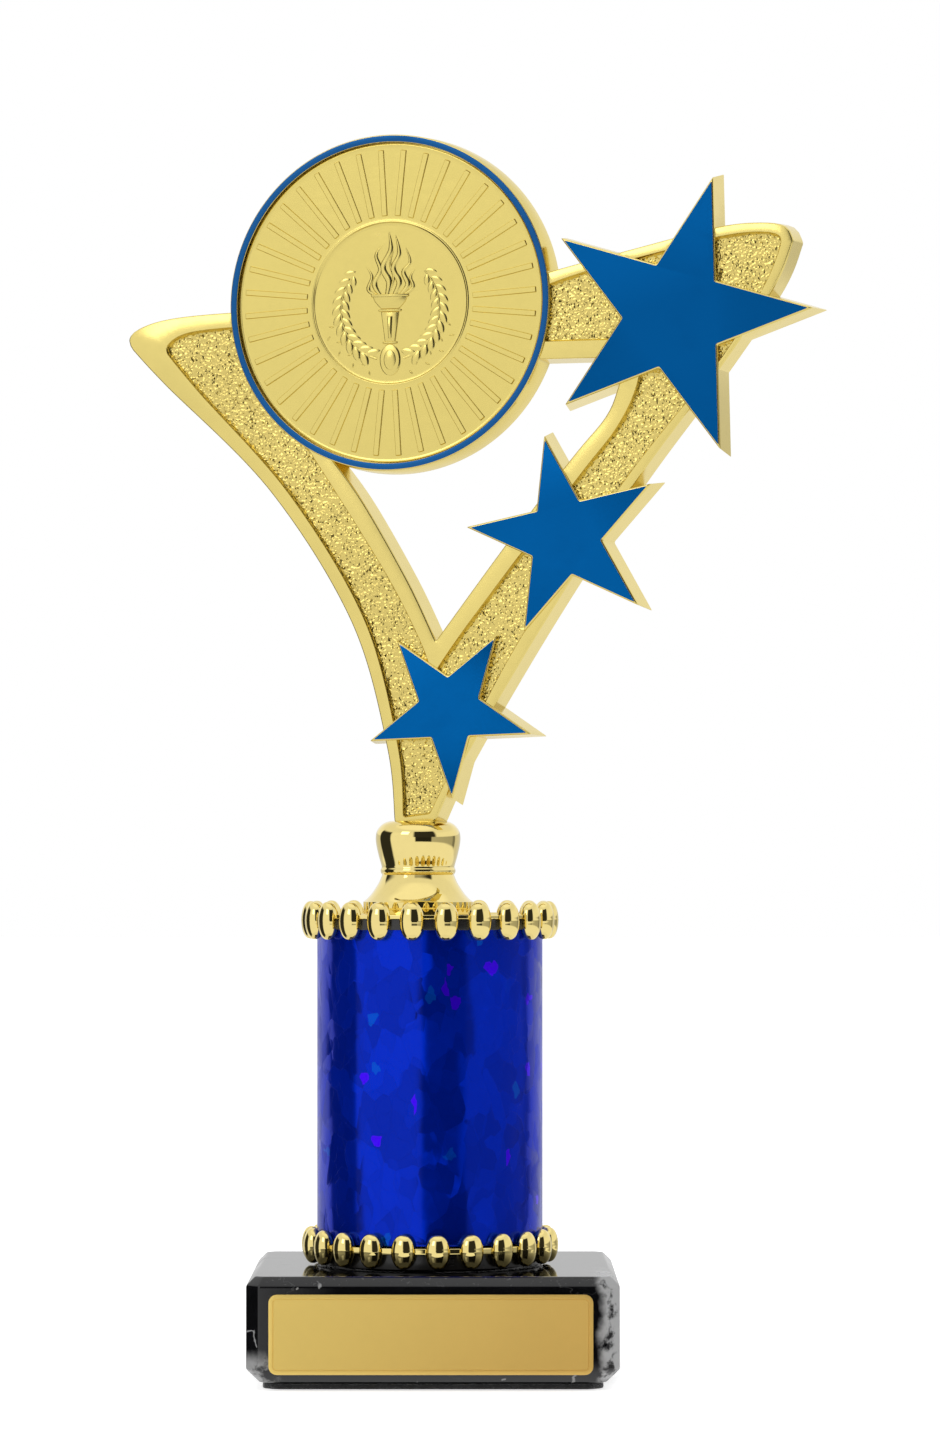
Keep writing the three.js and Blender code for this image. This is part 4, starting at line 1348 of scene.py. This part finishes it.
class TROPHY_OT_riser(TrophyOperator, bpy.types.Operator):
    """Make the star riser: banner, stippled field, medal seat, star blocks and the hollows in its back"""

    bl_idname = "trophy.riser"
    bl_label = "Star riser"

    SEED = 11
    # How far a stipple point strays, and how far its rows are apart, as shares of the spacing.
    STRAY = 0.22
    ROW_GAP = 0.87

    def banner(self):
        """The banner with its sunken field, triangulated finely where the field is stippled."""
        soft = self.sizes.edge_softness / MM
        banner = smooth_outline(BANNER_RUNS, 1.2)
        field = smooth_outline(FIELD_RUNS, 1.2)

        def edge(outline, growth):
            return softened(grown(outline, growth), 0.3, 2, 25.0)

        levels = [(edge(banner, growth), v) for growth, v in moulded_wall(RIM, soft)]
        rim_loop = levels[-1][0]
        count = len(rim_loop)
        points = [on_riser(u, v, z) for outline, v in levels for u, z in outline]
        faces = loops_between(len(levels), count)
        faces.append(tuple(range(count)))
        mask = [0.0] * len(points)

        def sheet(boundaries, extra, level, keep, share):
            """Adds flat triangles between boundaries, through the extra points, where keep allows."""
            flat = [Vector(p) for loop in boundaries for p in loop] + [Vector(p) for p in extra]
            edges, first = [], 0
            for loop in boundaries:
                edges += [(first + i, first + (i + 1) % len(loop)) for i in range(len(loop))]
                first += len(loop)
            verts, _, tris, origins, _, _ = geometry.delaunay_2d_cdt(flat, edges, [], 0, TINY, True)
            centres = [sum((verts[i] for i in tri), Vector((0, 0))) / 3 for tri in tris]
            kept = keep(np.array([tuple(c) for c in centres]))
            start = len(points)
            points.extend(on_riser(p[0], level, p[1]) for p in verts)
            mask.extend(share if origin and min(origin) >= first else 0.0 for origin in origins)
            faces.extend(tuple(start + i for i in tri) for tri, yes in zip(tris, kept) if yes)

        brim, floor = edge(field, 0.12), edge(field, -0.05)
        sheet([rim_loop, brim], [], RIM, lambda c: inside(rim_loop, c) & ~inside(brim, c), 0.0)
        count = len(floor)
        start = len(points)
        walls = [(brim, RIM), (edge(field, 0.02), RIM + 0.12)]
        walls += [(edge(field, -0.02), FIELD - 0.08), (floor, FIELD)]
        points.extend(on_riser(u, v, z) for outline, v in walls for u, z in outline)
        mask.extend([0.0] * (count * len(walls)))
        faces.extend(tuple(start + i for i in face) for face in loops_between(len(walls), count))
        sheet([floor], self.stipple_points(floor), FIELD, lambda c: inside(floor, c), 1.0)
        piece = solid_object("star_riser", points, faces, 38.0)
        self.mark_grain(piece, points, mask)
        return piece

    def mark_grain(self, piece, points, mask):
        """Stores on the mesh which of its vertices belong to the stippled field."""
        known = {}
        for point, share in zip(points, mask):
            key = tuple(round(c * 1000) for c in point)
            known[key] = max(share, known.get(key, 0.0))
        marks = piece.data.attributes.new("grain", "FLOAT", "POINT")
        for i, vertex in enumerate(piece.data.vertices):
            marks.data[i].value = known.get(tuple(round(c / MM * 1000) for c in vertex.co), 0.0)

    def stipple_points(self, floor):
        """Points spread over the open part of the field, a little uneven."""
        spacing = self.sizes.grain_spacing / MM
        chance = random.Random(self.SEED)
        stray = self.STRAY
        low_u, high_u = min(p[0] for p in floor), max(p[0] for p in floor)
        low_z, high_z = min(p[1] for p in floor), max(p[1] for p in floor)
        rows = int((high_z - low_z) / (spacing * self.ROW_GAP))
        spread = []
        for j in range(rows):
            u = low_u + (j % 2) * spacing / 2
            while u < high_u:
                off = (chance.uniform(-stray, stray) * spacing, chance.uniform(-stray, stray) * spacing)
                spread.append((u + off[0], low_z + j * spacing * self.ROW_GAP + off[1]))
                u += spacing
        spread = np.array(spread)
        keep = inside(grown(floor, -0.12), spread)
        away = np.hypot(spread[:, 0] - MEDAL_AT[0], spread[:, 1] - MEDAL_AT[1])
        keep &= away > RING_RADIUS - 0.5
        for at, radius, tip in STARS.values():
            keep &= ~inside(grown(star_outline(at, radius, tip), -0.4), spread)
        return [tuple(p) for p in spread[keep]]

    def star_block(self, at, radius, tip):
        """One raised star, from the back of the riser to its proud face."""
        soft = self.sizes.edge_softness / MM
        star = star_outline(at, radius, tip)
        levels = [(softened(grown(star, growth), 0.3, 2), v) for growth, v in moulded_wall(PROUD, soft)]
        return solid_object("star_block", *stacked(levels, on_riser))

    def hollows(self):
        """What is cut from the back: the banner's hollow between its ribs, and the medal's."""
        field = smooth_outline(FIELD_RUNS, 2.0)
        levels = [(field, BACK + 1), (field, HOLLOW_FRONT)]
        hollow = solid_object("hollow", *stacked(levels, on_riser))
        foot = [(-30, 60), (30, 60), (30, HOLLOW_FOOT), (-30, HOLLOW_FOOT)]
        cuts = [stacked([(foot, BACK + 2), (foot, HOLLOW_FRONT - 2)], on_riser)]
        for middle, turn, length in RIBS:
            middle, turn = Vector(middle), math.radians(turn)
            along = Vector((math.cos(turn), math.sin(turn))) * length / 2
            across = Vector((-along.y, along.x)).normalized() * RIB_WIDTH / 2
            corners = ((along, across), (-along, across), (-along, -across), (along, -across))
            bar = [tuple(middle + a + b) for a, b in corners]
            cuts.append(stacked([(bar, BACK + 2), (bar, HOLLOW_FRONT - 1)], on_riser))
        back, front = BACK + 3, HOLLOW_FRONT - 2
        disc = [(0, back), (RING_RADIUS, back), (RING_RADIUS, front), (0, front)]
        cuts.append(revolved(disc, 96, on_medal))
        for points, faces in cuts:
            hollow = combined(hollow, solid_object("cut", points, faces), "DIFFERENCE")
        return hollow

    def execute(self, context):
        soft = self.sizes.edge_softness / MM
        riser = self.banner()
        outwards = Vector(on_riser(0, -1, 0)) - Vector(on_riser(0, 0, 0))
        riser = grown_by_tree(
            riser,
            "stipple",
            Height=self.sizes.grain_height,
            Outwards=tuple(outwards),
            Material=self.material("riser_gold"),
        )
        ring = [
            (0, BACK), (RING_RADIUS + DRAFT, BACK), (RING_RADIUS + 0.02, PROUD + 0.5 * soft),
            (RING_RADIUS - 0.15 * soft, PROUD + 0.15 * soft), (RING_RADIUS - 0.5 * soft, PROUD), (0, PROUD),
        ]
        riser = combined(riser, solid_object("ring", *revolved(ring, 192, on_medal)), "UNION")
        for star in STARS.values():
            riser = combined(riser, self.star_block(*star), "UNION")
        seat = [
            (0, SEAT_DEPTH), (SEAT_RADIUS, SEAT_DEPTH), (SEAT_RADIUS, PROUD + 0.04),
            (SEAT_RADIUS + 0.04, PROUD), (SEAT_RADIUS + 0.94, PROUD - 0.9), (0, PROUD - 0.9),
        ]
        riser = combined(riser, solid_object("seat", *revolved(seat, 192, on_medal)), "DIFFERENCE")
        behind = [(0, BACK + 1), (SEAT_RADIUS - 1.5, BACK + 1), (SEAT_RADIUS - 1.5, 0.9), (0, 0.9)]
        riser = combined(riser, solid_object("behind", *revolved(behind, 128, on_medal)), "DIFFERENCE")
        riser = combined(riser, self.hollows(), "DIFFERENCE")
        shade(riser.data, 38.0)
        handed_in(riser, "topper", "riser_gold", self.material("riser_gold"), "riser_shell")
        return {"FINISHED"}


class TROPHY_OT_foils(TrophyOperator, bpy.types.Operator):
    """Make the blue foils on the stars and on the medal's ring"""

    bl_idname = "trophy.foils"
    bl_label = "Blue foils"

    THICK = 0.09

    def execute(self, context):
        inset = self.sizes.edge_softness / MM + 0.02
        back, front = PROUD - 0.01, PROUD - self.THICK
        for size, (at, radius, tip) in STARS.items():
            star = star_outline(at, radius, tip)
            steps = [(-inset, back), (-inset, front + 0.03), (-inset - 0.04, front)]
            levels = [(softened(grown(star, growth), 0.3, 2), v) for growth, v in steps]
            face = solid_object(f"star_foil_{size}", *stacked(levels, on_riser))
            handed_in(face, "topper", "star_blue", self.material("star_blue"), f"star_face_{size}")
        inner, outer = SEAT_RADIUS + 0.05, RING_RADIUS - 0.12
        band = [(inner, back), (outer, back), (outer, front), (inner, front)]
        ring = solid_object("ring_foil", *revolved(softened(band, 0.03, 2), 192, on_medal))
        handed_in(ring, "topper", "ring_blue", self.material("ring_blue"), "ring_face")
        return {"FINISHED"}


class TROPHY_OT_medal(TrophyOperator, bpy.types.Operator):
    """Make the medal insert: its disc, rays, torch and wreath"""

    bl_idname = "trophy.medal"
    bl_label = "Medal insert"

    FLOOR = -2.2
    SUNK = -2.0
    RELIEF = 0.17
    # Where a ray starts and ends from the medal's centre, and how high it stands.
    RAY_RUN = (13.7, 24.0)
    RAY_HEIGHT = 0.24
    FIRST_RAY = 3.5
    # The wreath's middle below the medal's, the radius of its stems, the angle from the foot to a
    # branch's first leaf, and the angle that its leaves fill.
    WREATH_MIDDLE = -0.9
    STEM_RADIUS = 8.1
    STEM_WIDTHS = (0.45, 0.4, 0.35, 0.15)
    BRANCH_FOOT = 20
    BRANCH_SPAN = 112
    # Each row of leaves: its radius, its lean, and how far on its first leaf stands, in degrees.
    LEAF_ROWS = ((7.45, 52, 4), (8.85, 128, 9))
    # Length, width, height and crease of a leaf.
    LEAF = (2.9, 1.35, 0.22, 0.4)
    LAST_LEAF = 0.72

    def disc(self):
        """The turned disc with its raised rim and sunken roundel."""
        floor, sunk, line = self.FLOOR, self.SUNK, self.FLOOR - 0.07
        profile = [
            (0, MEDAL_BACK), (MEDAL_RADIUS, MEDAL_BACK), (MEDAL_RADIUS, floor),
            (MEDAL_RADIUS - 0.2, floor - 0.06), (MEDAL_RADIUS - 0.4, floor), (MEDAL_RADIUS - 0.9, floor),
            (ROUNDEL_RADIUS + 0.8, floor), (ROUNDEL_RADIUS + 0.26, floor), (ROUNDEL_RADIUS + 0.12, line),
            (ROUNDEL_RADIUS - 0.02, line), (ROUNDEL_RADIUS - 0.2, sunk), (ROUNDEL_RADIUS - 0.7, sunk),
            (0, sunk),
        ]
        rim = [point for point in softened(profile, 0.07, 2) if point[0] > 1.0]
        turned = [profile[0]] + rim + [profile[-1]]
        return solid_object("medal_disc", *revolved(turned, 192, on_medal), 30.0)

    def lens(self, name, length, width, height, crease=0.0, rows=7):
        """A leaf-shaped relief along +X, pointed at both ends, domed or creased along its middle."""
        points = []
        across = (-1.0, -0.6, 0.0, 0.6, 1.0)
        for i in range(rows + 1):
            t = i / rows
            inside_tips = 0 < i < rows
            half = width / 2 * math.sin(math.pi * t) ** 0.75 if inside_tips else 0.0
            dome = math.sin(math.pi * t) ** 0.5 if inside_tips else 0.0
            for s in across:
                lift = (1 - s * s) - crease * max(0.0, 1 - abs(s) * 3)
                points.append((length * (t - 0.5), half * s, height * lift * dome))
        count = len(across)
        faces = []
        for i in range(rows):
            for k in range(count - 1):
                here, ahead = i * count + k, (i + 1) * count + k
                faces.append((here, ahead, ahead + 1, here + 1))
        under = [i * count for i in range(rows, -1, -1)] + [(i + 1) * count - 1 for i in range(1, rows)]
        faces.append(tuple(under))
        return solid_object(name, points, faces, 60.0)

    def bar(self, name, start, end, width, height):
        """A long narrow bar along +X with soft shoulders and closed tips."""
        outline = [(start, -width / 2), (end, -width / 2), (end, width / 2), (start, width / 2)]
        outline = softened(outline, 0.12, 2)
        levels = [(grown(outline, 0.06), -0.05), (grown(outline, 0.03), 0.4 * height)]
        levels += [(grown(outline, -0.03), height * 0.85), (grown(outline, -0.07), height)]
        return solid_object(name, *stacked(levels, lying), 20.0)

    def placed(self, piece, level, **values):
        """Repeats a shape round the medal's centre, on its face at that level."""
        turn = (math.pi / 2, 0.0, -RISER_TURN)
        centre = Vector(on_medal(values.pop("x", 0.0), values.pop("y", 0.0), level)) * MM
        gold = self.material("medal_gold")
        return grown_by_tree(
            piece, "copies_round", Centre=tuple(centre), Turn=turn, Material=gold, **values
        )

    def tube(self, name, path, widths, height):
        """A flattened tapering ridge along a path on the roundel."""
        smooth = smooth_outline([path], 0.35) + [path[-1]]
        points = []
        sides = 8
        for i, (x, y) in enumerate(smooth):
            ahead = Vector(smooth[min(i + 1, len(smooth) - 1)]) - Vector(smooth[max(i - 1, 0)])
            normal = Vector((-ahead.y, ahead.x)).normalized()
            t = i / (len(smooth) - 1)
            place = t * (len(widths) - 1)
            k = min(int(place), len(widths) - 2)
            half = (widths[k] * (1 - place + k) + widths[k + 1] * (place - k)) / 2
            for s in range(sides):
                angle = 2 * math.pi * s / sides
                off = normal * half * math.cos(angle)
                rise = height * min(1.0, half / 0.3) * math.sin(angle)
                points.append(on_medal(x + off.x, y + off.y, self.SUNK - rise))
        faces = loops_between(len(smooth), sides)
        faces += [tuple(range(sides)), tuple(range(len(points) - sides, len(points)))]
        return solid_object(name, points, faces, 60.0)

    def plateau(self, name, outline, height, slope=0.14):
        """A raised flat shape on the roundel with sloping sides."""
        outline = softened(outline, 0.16, 3)
        levels = [(outline, self.SUNK + 0.05), (outline, self.SUNK - 0.4 * height)]
        levels += [(grown(outline, -0.4 * slope), self.SUNK - 0.8 * height)]
        levels += [(grown(outline, -slope), self.SUNK - height)]
        return solid_object(name, *stacked(levels, lambda x, v, y: on_medal(x, y, v)), 25.0)

    def torch(self):
        """A plain torch: flames, bowl, tapering handle and an oval foot."""
        flames = [
            ([(-1.4, 1.0), (-2.6, 3.0), (-1.6, 5.2), (-2.3, 7.6), (-0.9, 9.6)], (0.5, 1.0, 0.8, 0.6, 0.1)),
            ([(-0.6, 1.0), (-0.2, 3.4), (-1.2, 5.6), (0.1, 8.4), (-0.2, 11.2)], (0.6, 1.1, 1.0, 0.8, 0.1)),
            ([(0.5, 1.0), (1.5, 3.2), (0.5, 5.4), (1.5, 7.8), (0.9, 10.6)], (0.6, 1.0, 0.9, 0.7, 0.1)),
            ([(1.4, 1.0), (2.9, 2.8), (2.2, 4.8), (3.3, 6.4), (2.6, 8.6)], (0.5, 0.9, 0.8, 0.5, 0.1)),
            ([(2.2, 1.2), (3.8, 2.4), (3.4, 4.0), (4.2, 5.4)], (0.4, 0.7, 0.5, 0.1)),
            ([(-2.2, 1.2), (-3.6, 2.2), (-3.0, 4.2), (-3.9, 5.8)], (0.4, 0.7, 0.5, 0.1)),
            ([(0.0, 2.0), (0.6, 4.0), (0.0, 6.2), (0.6, 8.2)], (0.3, 0.5, 0.4, 0.1)),
        ]
        parts = [self.tube("flame", path, widths, self.RELIEF) for path, widths in flames]
        plateaus = (
            ("bowl", [(-2.9, 1.1), (-2.5, 0.2), (-1.5, -0.9), (1.5, -0.9), (2.5, 0.2), (2.9, 1.1)], 0.2),
            ("lip", [(-3.1, 0.95), (3.1, 0.95), (3.1, 1.45), (-3.1, 1.45)], 0.28),
            ("collar", [(-1.9, -1.35), (1.9, -1.35), (1.9, -0.95), (-1.9, -0.95)], 0.25),
            ("handle", [(-1.5, -1.35), (-0.85, -6.1), (0.85, -6.1), (1.5, -1.35)], 0.16),
            ("grip", [(-0.5, -2.0), (-0.3, -5.6), (0.3, -5.6), (0.5, -2.0)], 0.24),
            ("band", [(-1.2, -6.4), (1.2, -6.4), (1.2, -6.0), (-1.2, -6.0)], 0.25),
        )
        parts += [self.plateau(name, outline, height) for name, outline, height in plateaus]
        turns = [math.radians(degrees) for degrees in range(0, 360, 12)]
        middle = -8.9
        oval = [(1.7 * math.cos(turn), middle + 2.5 * math.sin(turn)) for turn in turns]
        boss = [(x * 0.62, middle + (y - middle) * 0.66) for x, y in oval]
        parts.append(self.plateau("foot", oval, 0.2, 0.25))
        parts.append(self.plateau("boss", boss, 0.28, 0.2))
        return parts

    def rays(self):
        """The raised rays round the roundel."""
        sizes = self.sizes
        ray = self.bar("rays", *self.RAY_RUN, sizes.ray_width / MM, self.RAY_HEIGHT)
        step = 2 * math.pi / sizes.ray_count
        start = math.radians(self.FIRST_RAY)
        return self.placed(ray, self.FLOOR, Copies=sizes.ray_count, Start=start, Step=step, Radius=0.0)

    def branch(self, side):
        """One branch of the wreath, to the left (-1) or right (1): a stem and two rows of leaves."""
        turns = [math.radians(degrees) for degrees in range(16, 137, 15)]
        reach, middle = self.STEM_RADIUS, self.WREATH_MIDDLE
        stem = [(side * reach * math.sin(turn), middle - reach * math.cos(turn)) for turn in turns]
        parts = [self.tube("stem", stem, self.STEM_WIDTHS, 0.16)]
        copies = self.sizes.leaf_count // 2
        for radius, lean, onward in self.LEAF_ROWS:
            leaf = self.turned(self.lens("leaf", *self.LEAF), math.radians(side * lean))
            leaves = self.placed(
                leaf,
                self.SUNK,
                y=middle,
                Copies=copies,
                Start=math.radians(-90 + side * self.BRANCH_FOOT + side * onward),
                Step=side * math.radians(self.BRANCH_SPAN / copies),
                Radius=radius * MM,
                Last_Size=self.LAST_LEAF,
            )
            parts.append(leaves)
        return parts

    def dashes(self):
        """Short marks on both sides of the flames."""
        dash = self.lens("dash", 0.9, 0.3, 0.14)
        rows = [
            self.placed(
                self.copied(dash),
                self.SUNK,
                Copies=8,
                Start=math.radians(start),
                Step=math.radians(step),
                Radius=10.9 * MM,
                Stagger=0.55 * MM,
                Lean=0.5,
            )
            for start, step in ((200, 7.5), (-20, -7.5))
        ]
        bpy.data.objects.remove(dash)
        return rows

    def execute(self, context):
        gold = self.material("medal_gold")
        handed_in(self.disc(), "topper", "medal_gold", gold, "medal_insert")
        handed_in(self.rays(), "topper", "medal_gold", None, "medal_insert")
        torch = joined("torch", self.torch())
        shade(torch.data, 50.0)
        handed_in(torch, "topper", "medal_gold", gold, "medal_insert")
        wreath = joined("wreath", self.branch(-1) + self.branch(1) + self.dashes())
        shade(wreath.data, 60.0)
        handed_in(wreath, "topper", "medal_gold", gold, "medal_insert")
        return {"FINISHED"}

    def turned(self, piece, angle):
        """The shape turned about its own middle."""
        cos, sin = math.cos(angle), math.sin(angle)
        for vertex in piece.data.vertices:
            x, y, z = vertex.co
            vertex.co = (x * cos - y * sin, x * sin + y * cos, z)
        return piece

    def copied(self, piece):
        """A second object with its own copy of the mesh."""
        twin = bpy.data.objects.new(piece.name, piece.data.copy())
        bpy.context.scene.collection.objects.link(twin)
        return twin


class TROPHY_OT_rod(TrophyOperator, bpy.types.Operator):
    """Make the threaded rod"""

    bl_idname = "trophy.rod"
    bl_label = "Threaded rod"

    END_CUT = 0.5
    ROWS_A_TURN = 5

    def execute(self, context):
        low, high = ROD
        radius = (high.y - low.y) / 2
        cut = self.END_CUT
        rise = self.sizes.thread_pitch / MM / self.ROWS_A_TURN
        rows = int((high.z - low.z - 2 * cut) / rise)
        profile = [(0, low.z), (radius - cut, low.z), (radius, low.z + cut)]
        profile += [(radius, low.z + cut + k * rise) for k in range(1, rows)]
        profile += [(radius, high.z - cut), (radius - cut, high.z), (0, high.z)]
        rod = solid_object("rod", *revolved(profile, 20, around_rod), 60.0)
        rod = grown_by_tree(
            rod,
            "screw_thread",
            Pitch=self.sizes.thread_pitch,
            Axis=ROD_X * MM,
            Material=self.material("steel"),
        )
        handed_in(rod, "topper", "steel", None, "threaded_rod")
        return {"FINISHED"}


class TROPHY_OT_fittings(TrophyOperator, bpy.types.Operator):
    """Give the nodes that keep their CAD shape their finishes"""

    bl_idname = "trophy.fittings"
    bl_label = "Plain fittings"

    FINISHES = {
        "plate_tape": "tape",
        "medal_pad": "tape",
        "column_tube": "tube_plastic",
        "hex_nut": "steel",
        "spring_washer": "steel",
        "flat_washer": "steel",
        "neck_insert": "insert_brass",
    }

    def execute(self, context):
        for node, finish in self.FINISHES.items():
            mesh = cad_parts[node].data
            mesh.materials.clear()
            mesh.materials.append(self.material(finish))
        return {"FINISHED"}


class TROPHY_OT_stage(TrophyOperator, bpy.types.Operator):
    """Make the pale floor, the studio's light and the camera"""

    bl_idname = "trophy.stage"
    bl_label = "Studio stage"

    # Where the camera stands, in millimetres, its lens, and how far its picture is shifted up.
    EYE = (5.65, -900.0, 83.8)
    FOCAL_LENGTH = 142.3
    RISE = 0.0793
    FLOOR_WIDTH = 8000.0
    # What the lamp is aimed at, in metres.
    AIM = (0, 0, 0.11)
    # Light at angles round the trophy, in degrees: 0 is the camera's side, and positive angles go to its
    # right. WALLS is the light near eye level, SIDE the light above and below that, and FRONT says how
    # much of the dark gap above the camera is there.
    WALLS = [
        (-180, 0.72), (-127, 0.72), (-124, 0.03), (-82, 0.03), (-79, 1.0), (-9, 1.0), (-6, 0.02),
        (36, 0.02), (39, 0.5), (108, 0.42), (113, 0.22), (120, 0.22), (124, 0.72), (180, 0.72),
    ]
    SIDE = [(-180, 1), (-128, 1), (-123, 0.03), (-83, 0.03), (-78, 1), (180, 1)]
    FRONT = [(-180, 0), (-15, 0), (-9, 1), (47, 1), (54, 0), (180, 0)]

    def surroundings(self):
        """Soft light from pale walls, with dark gaps beside and behind the camera."""
        world = bpy.data.worlds.new("studio")
        bpy.context.scene.world = world
        world.use_nodes = True
        world.node_tree.nodes.clear()
        bench = Bench(world.node_tree)
        outwards = bench.put("ShaderNodeTexCoord").outputs["Generated"]
        parts = bench.put("ShaderNodeSeparateXYZ", {0: outwards}).outputs
        turn = bench.math("ARCTAN2", parts["X"], bench.math("MULTIPLY", parts["Y"], -1.0))
        share = bench.math("MULTIPLY_ADD", turn, 0.5 / math.pi, 0.5)
        at_eye, beside, ahead = (
            bench.ramp(share, [((angle + 180) / 360, level) for angle, level in stops])
            for stops in (self.WALLS, self.SIDE, self.FRONT)
        )
        height = bench.math("ARCSINE", parts["Z"])

        def zone(low, high, soft):
            """1 between two heights over the horizon, in degrees, with soft ends."""
            rise = bench.between(height, math.radians(low - soft), math.radians(low + soft))
            fall = bench.between(height, math.radians(high + soft), math.radians(high - soft))
            return bench.math("MULTIPLY", rise, fall)

        level = bench.blend(zone(-48, 28, 5), grey(0.92), beside)
        level = bench.blend(bench.math("MULTIPLY", ahead, zone(4, 42, 2)), level, grey(0.03))
        level = bench.blend(zone(-12, 6, 1.5), level, at_eye)
        roof = bench.between(height, math.radians(50), math.radians(62))
        level = bench.blend(roof, level, grey(1.1))
        light = bench.put("ShaderNodeBackground", {"Color": level, "Strength": 1.0})
        plain = bench.put("ShaderNodeBackground", {"Color": grey(1.0), "Strength": 1.0})
        seen = bench.put("ShaderNodeLightPath").outputs["Is Camera Ray"]
        mixed = bench.put("ShaderNodeMixShader", {0: seen, 1: light.outputs[0], 2: plain.outputs[0]})
        end = bench.put("ShaderNodeOutputWorld")
        bench.feed(end.inputs[0], mixed.outputs[0])

    def floor(self):
        """A wide pale floor."""
        material, bench, shader = new_material("pale_floor", Roughness=0.9, Emission_Strength=0.62)
        tone = use_group(bench, "colour_drift", Light=grey(0.8), Dark=grey(0.79), Size=4.0)
        bench.feed(shader.inputs["Base Color"], tone.outputs["Colour"])
        shader.inputs["Emission Color"].default_value = grey(1.0)
        rim = rounded_rectangle((0, 0), self.FLOOR_WIDTH, self.FLOOR_WIDTH, 800.0)
        levels = [(rim, -20.0), (rim, -0.01)]
        floor = solid_object("pale_floor", *stacked(levels, lying))
        floor.data.materials.append(material)
        floor.visible_glossy = False

    def camera(self):
        """The camera, level with the column's top."""
        data = bpy.data.cameras.new("camera")
        data.lens = self.FOCAL_LENGTH
        data.sensor_width = 36.0
        data.shift_y = self.RISE
        data.clip_start, data.clip_end = 0.05, 30.0
        camera = bpy.data.objects.new("camera", data)
        camera.location = [c * MM for c in self.EYE]
        camera.rotation_euler = (math.pi / 2, 0.0, 0.0)
        bpy.context.scene.collection.objects.link(camera)
        bpy.context.scene.camera = camera

    def lamp(self, name, place, size, power):
        """A soft square lamp aimed at the trophy."""
        data = bpy.data.lights.new(name, "AREA")
        data.shape = "SQUARE"
        data.size = size
        data.energy = power
        data.specular_factor = 0.0
        lamp = bpy.data.objects.new(name, data)
        lamp.location = place
        aim = Vector(self.AIM) - Vector(place)
        lamp.rotation_euler = aim.to_track_quat("-Z", "Y").to_euler()
        bpy.context.scene.collection.objects.link(lamp)

    def execute(self, context):
        bpy.context.scene.view_settings.view_transform = "Standard"
        self.surroundings()
        self.floor()
        self.lamp("key_lamp", (-0.75, -0.95, 0.75), 0.5, 1.5)
        self.camera()
        return {"FINISHED"}


class TROPHY_PT_panel(bpy.types.Panel):
    """The trophy's settings and pieces."""

    bl_idname = "TROPHY_PT_panel"
    bl_label = "Column trophy"
    bl_space_type = "VIEW_3D"
    bl_region_type = "UI"
    bl_category = "Trophy"

    def draw(self, context):
        for group in (context.scene.trophy_sizes, context.scene.trophy_colours):
            column = self.layout.column(align=True)
            for key in group.__annotations__:
                column.prop(group, key)
        for operator in OPERATORS:
            self.layout.operator(operator.bl_idname)


OPERATORS = (
    TROPHY_OT_materials,
    TROPHY_OT_marble_block,
    TROPHY_OT_felt_pad,
    TROPHY_OT_name_plate,
    TROPHY_OT_bead_rings,
    TROPHY_OT_column_film,
    TROPHY_OT_neck,
    TROPHY_OT_riser,
    TROPHY_OT_foils,
    TROPHY_OT_medal,
    TROPHY_OT_rod,
    TROPHY_OT_fittings,
    TROPHY_OT_stage,
)
CLASSES = (TrophySizes, TrophyColours, *OPERATORS, TROPHY_PT_panel)


def register():
    """Registers the settings, operators and panel."""
    for each in CLASSES:
        bpy.utils.register_class(each)
    bpy.types.Scene.trophy_sizes = bpy.props.PointerProperty(type=TrophySizes)
    bpy.types.Scene.trophy_colours = bpy.props.PointerProperty(type=TrophyColours)


def unregister():
    """Removes what register added."""
    del bpy.types.Scene.trophy_colours
    del bpy.types.Scene.trophy_sizes
    for each in reversed(CLASSES):
        bpy.utils.unregister_class(each)


def main():
    """Builds the whole trophy."""
    register()
    for operator in OPERATORS:
        group, name = operator.bl_idname.split(".")
        getattr(getattr(bpy.ops, group), name)()


if __name__ == "__main__":
    main()
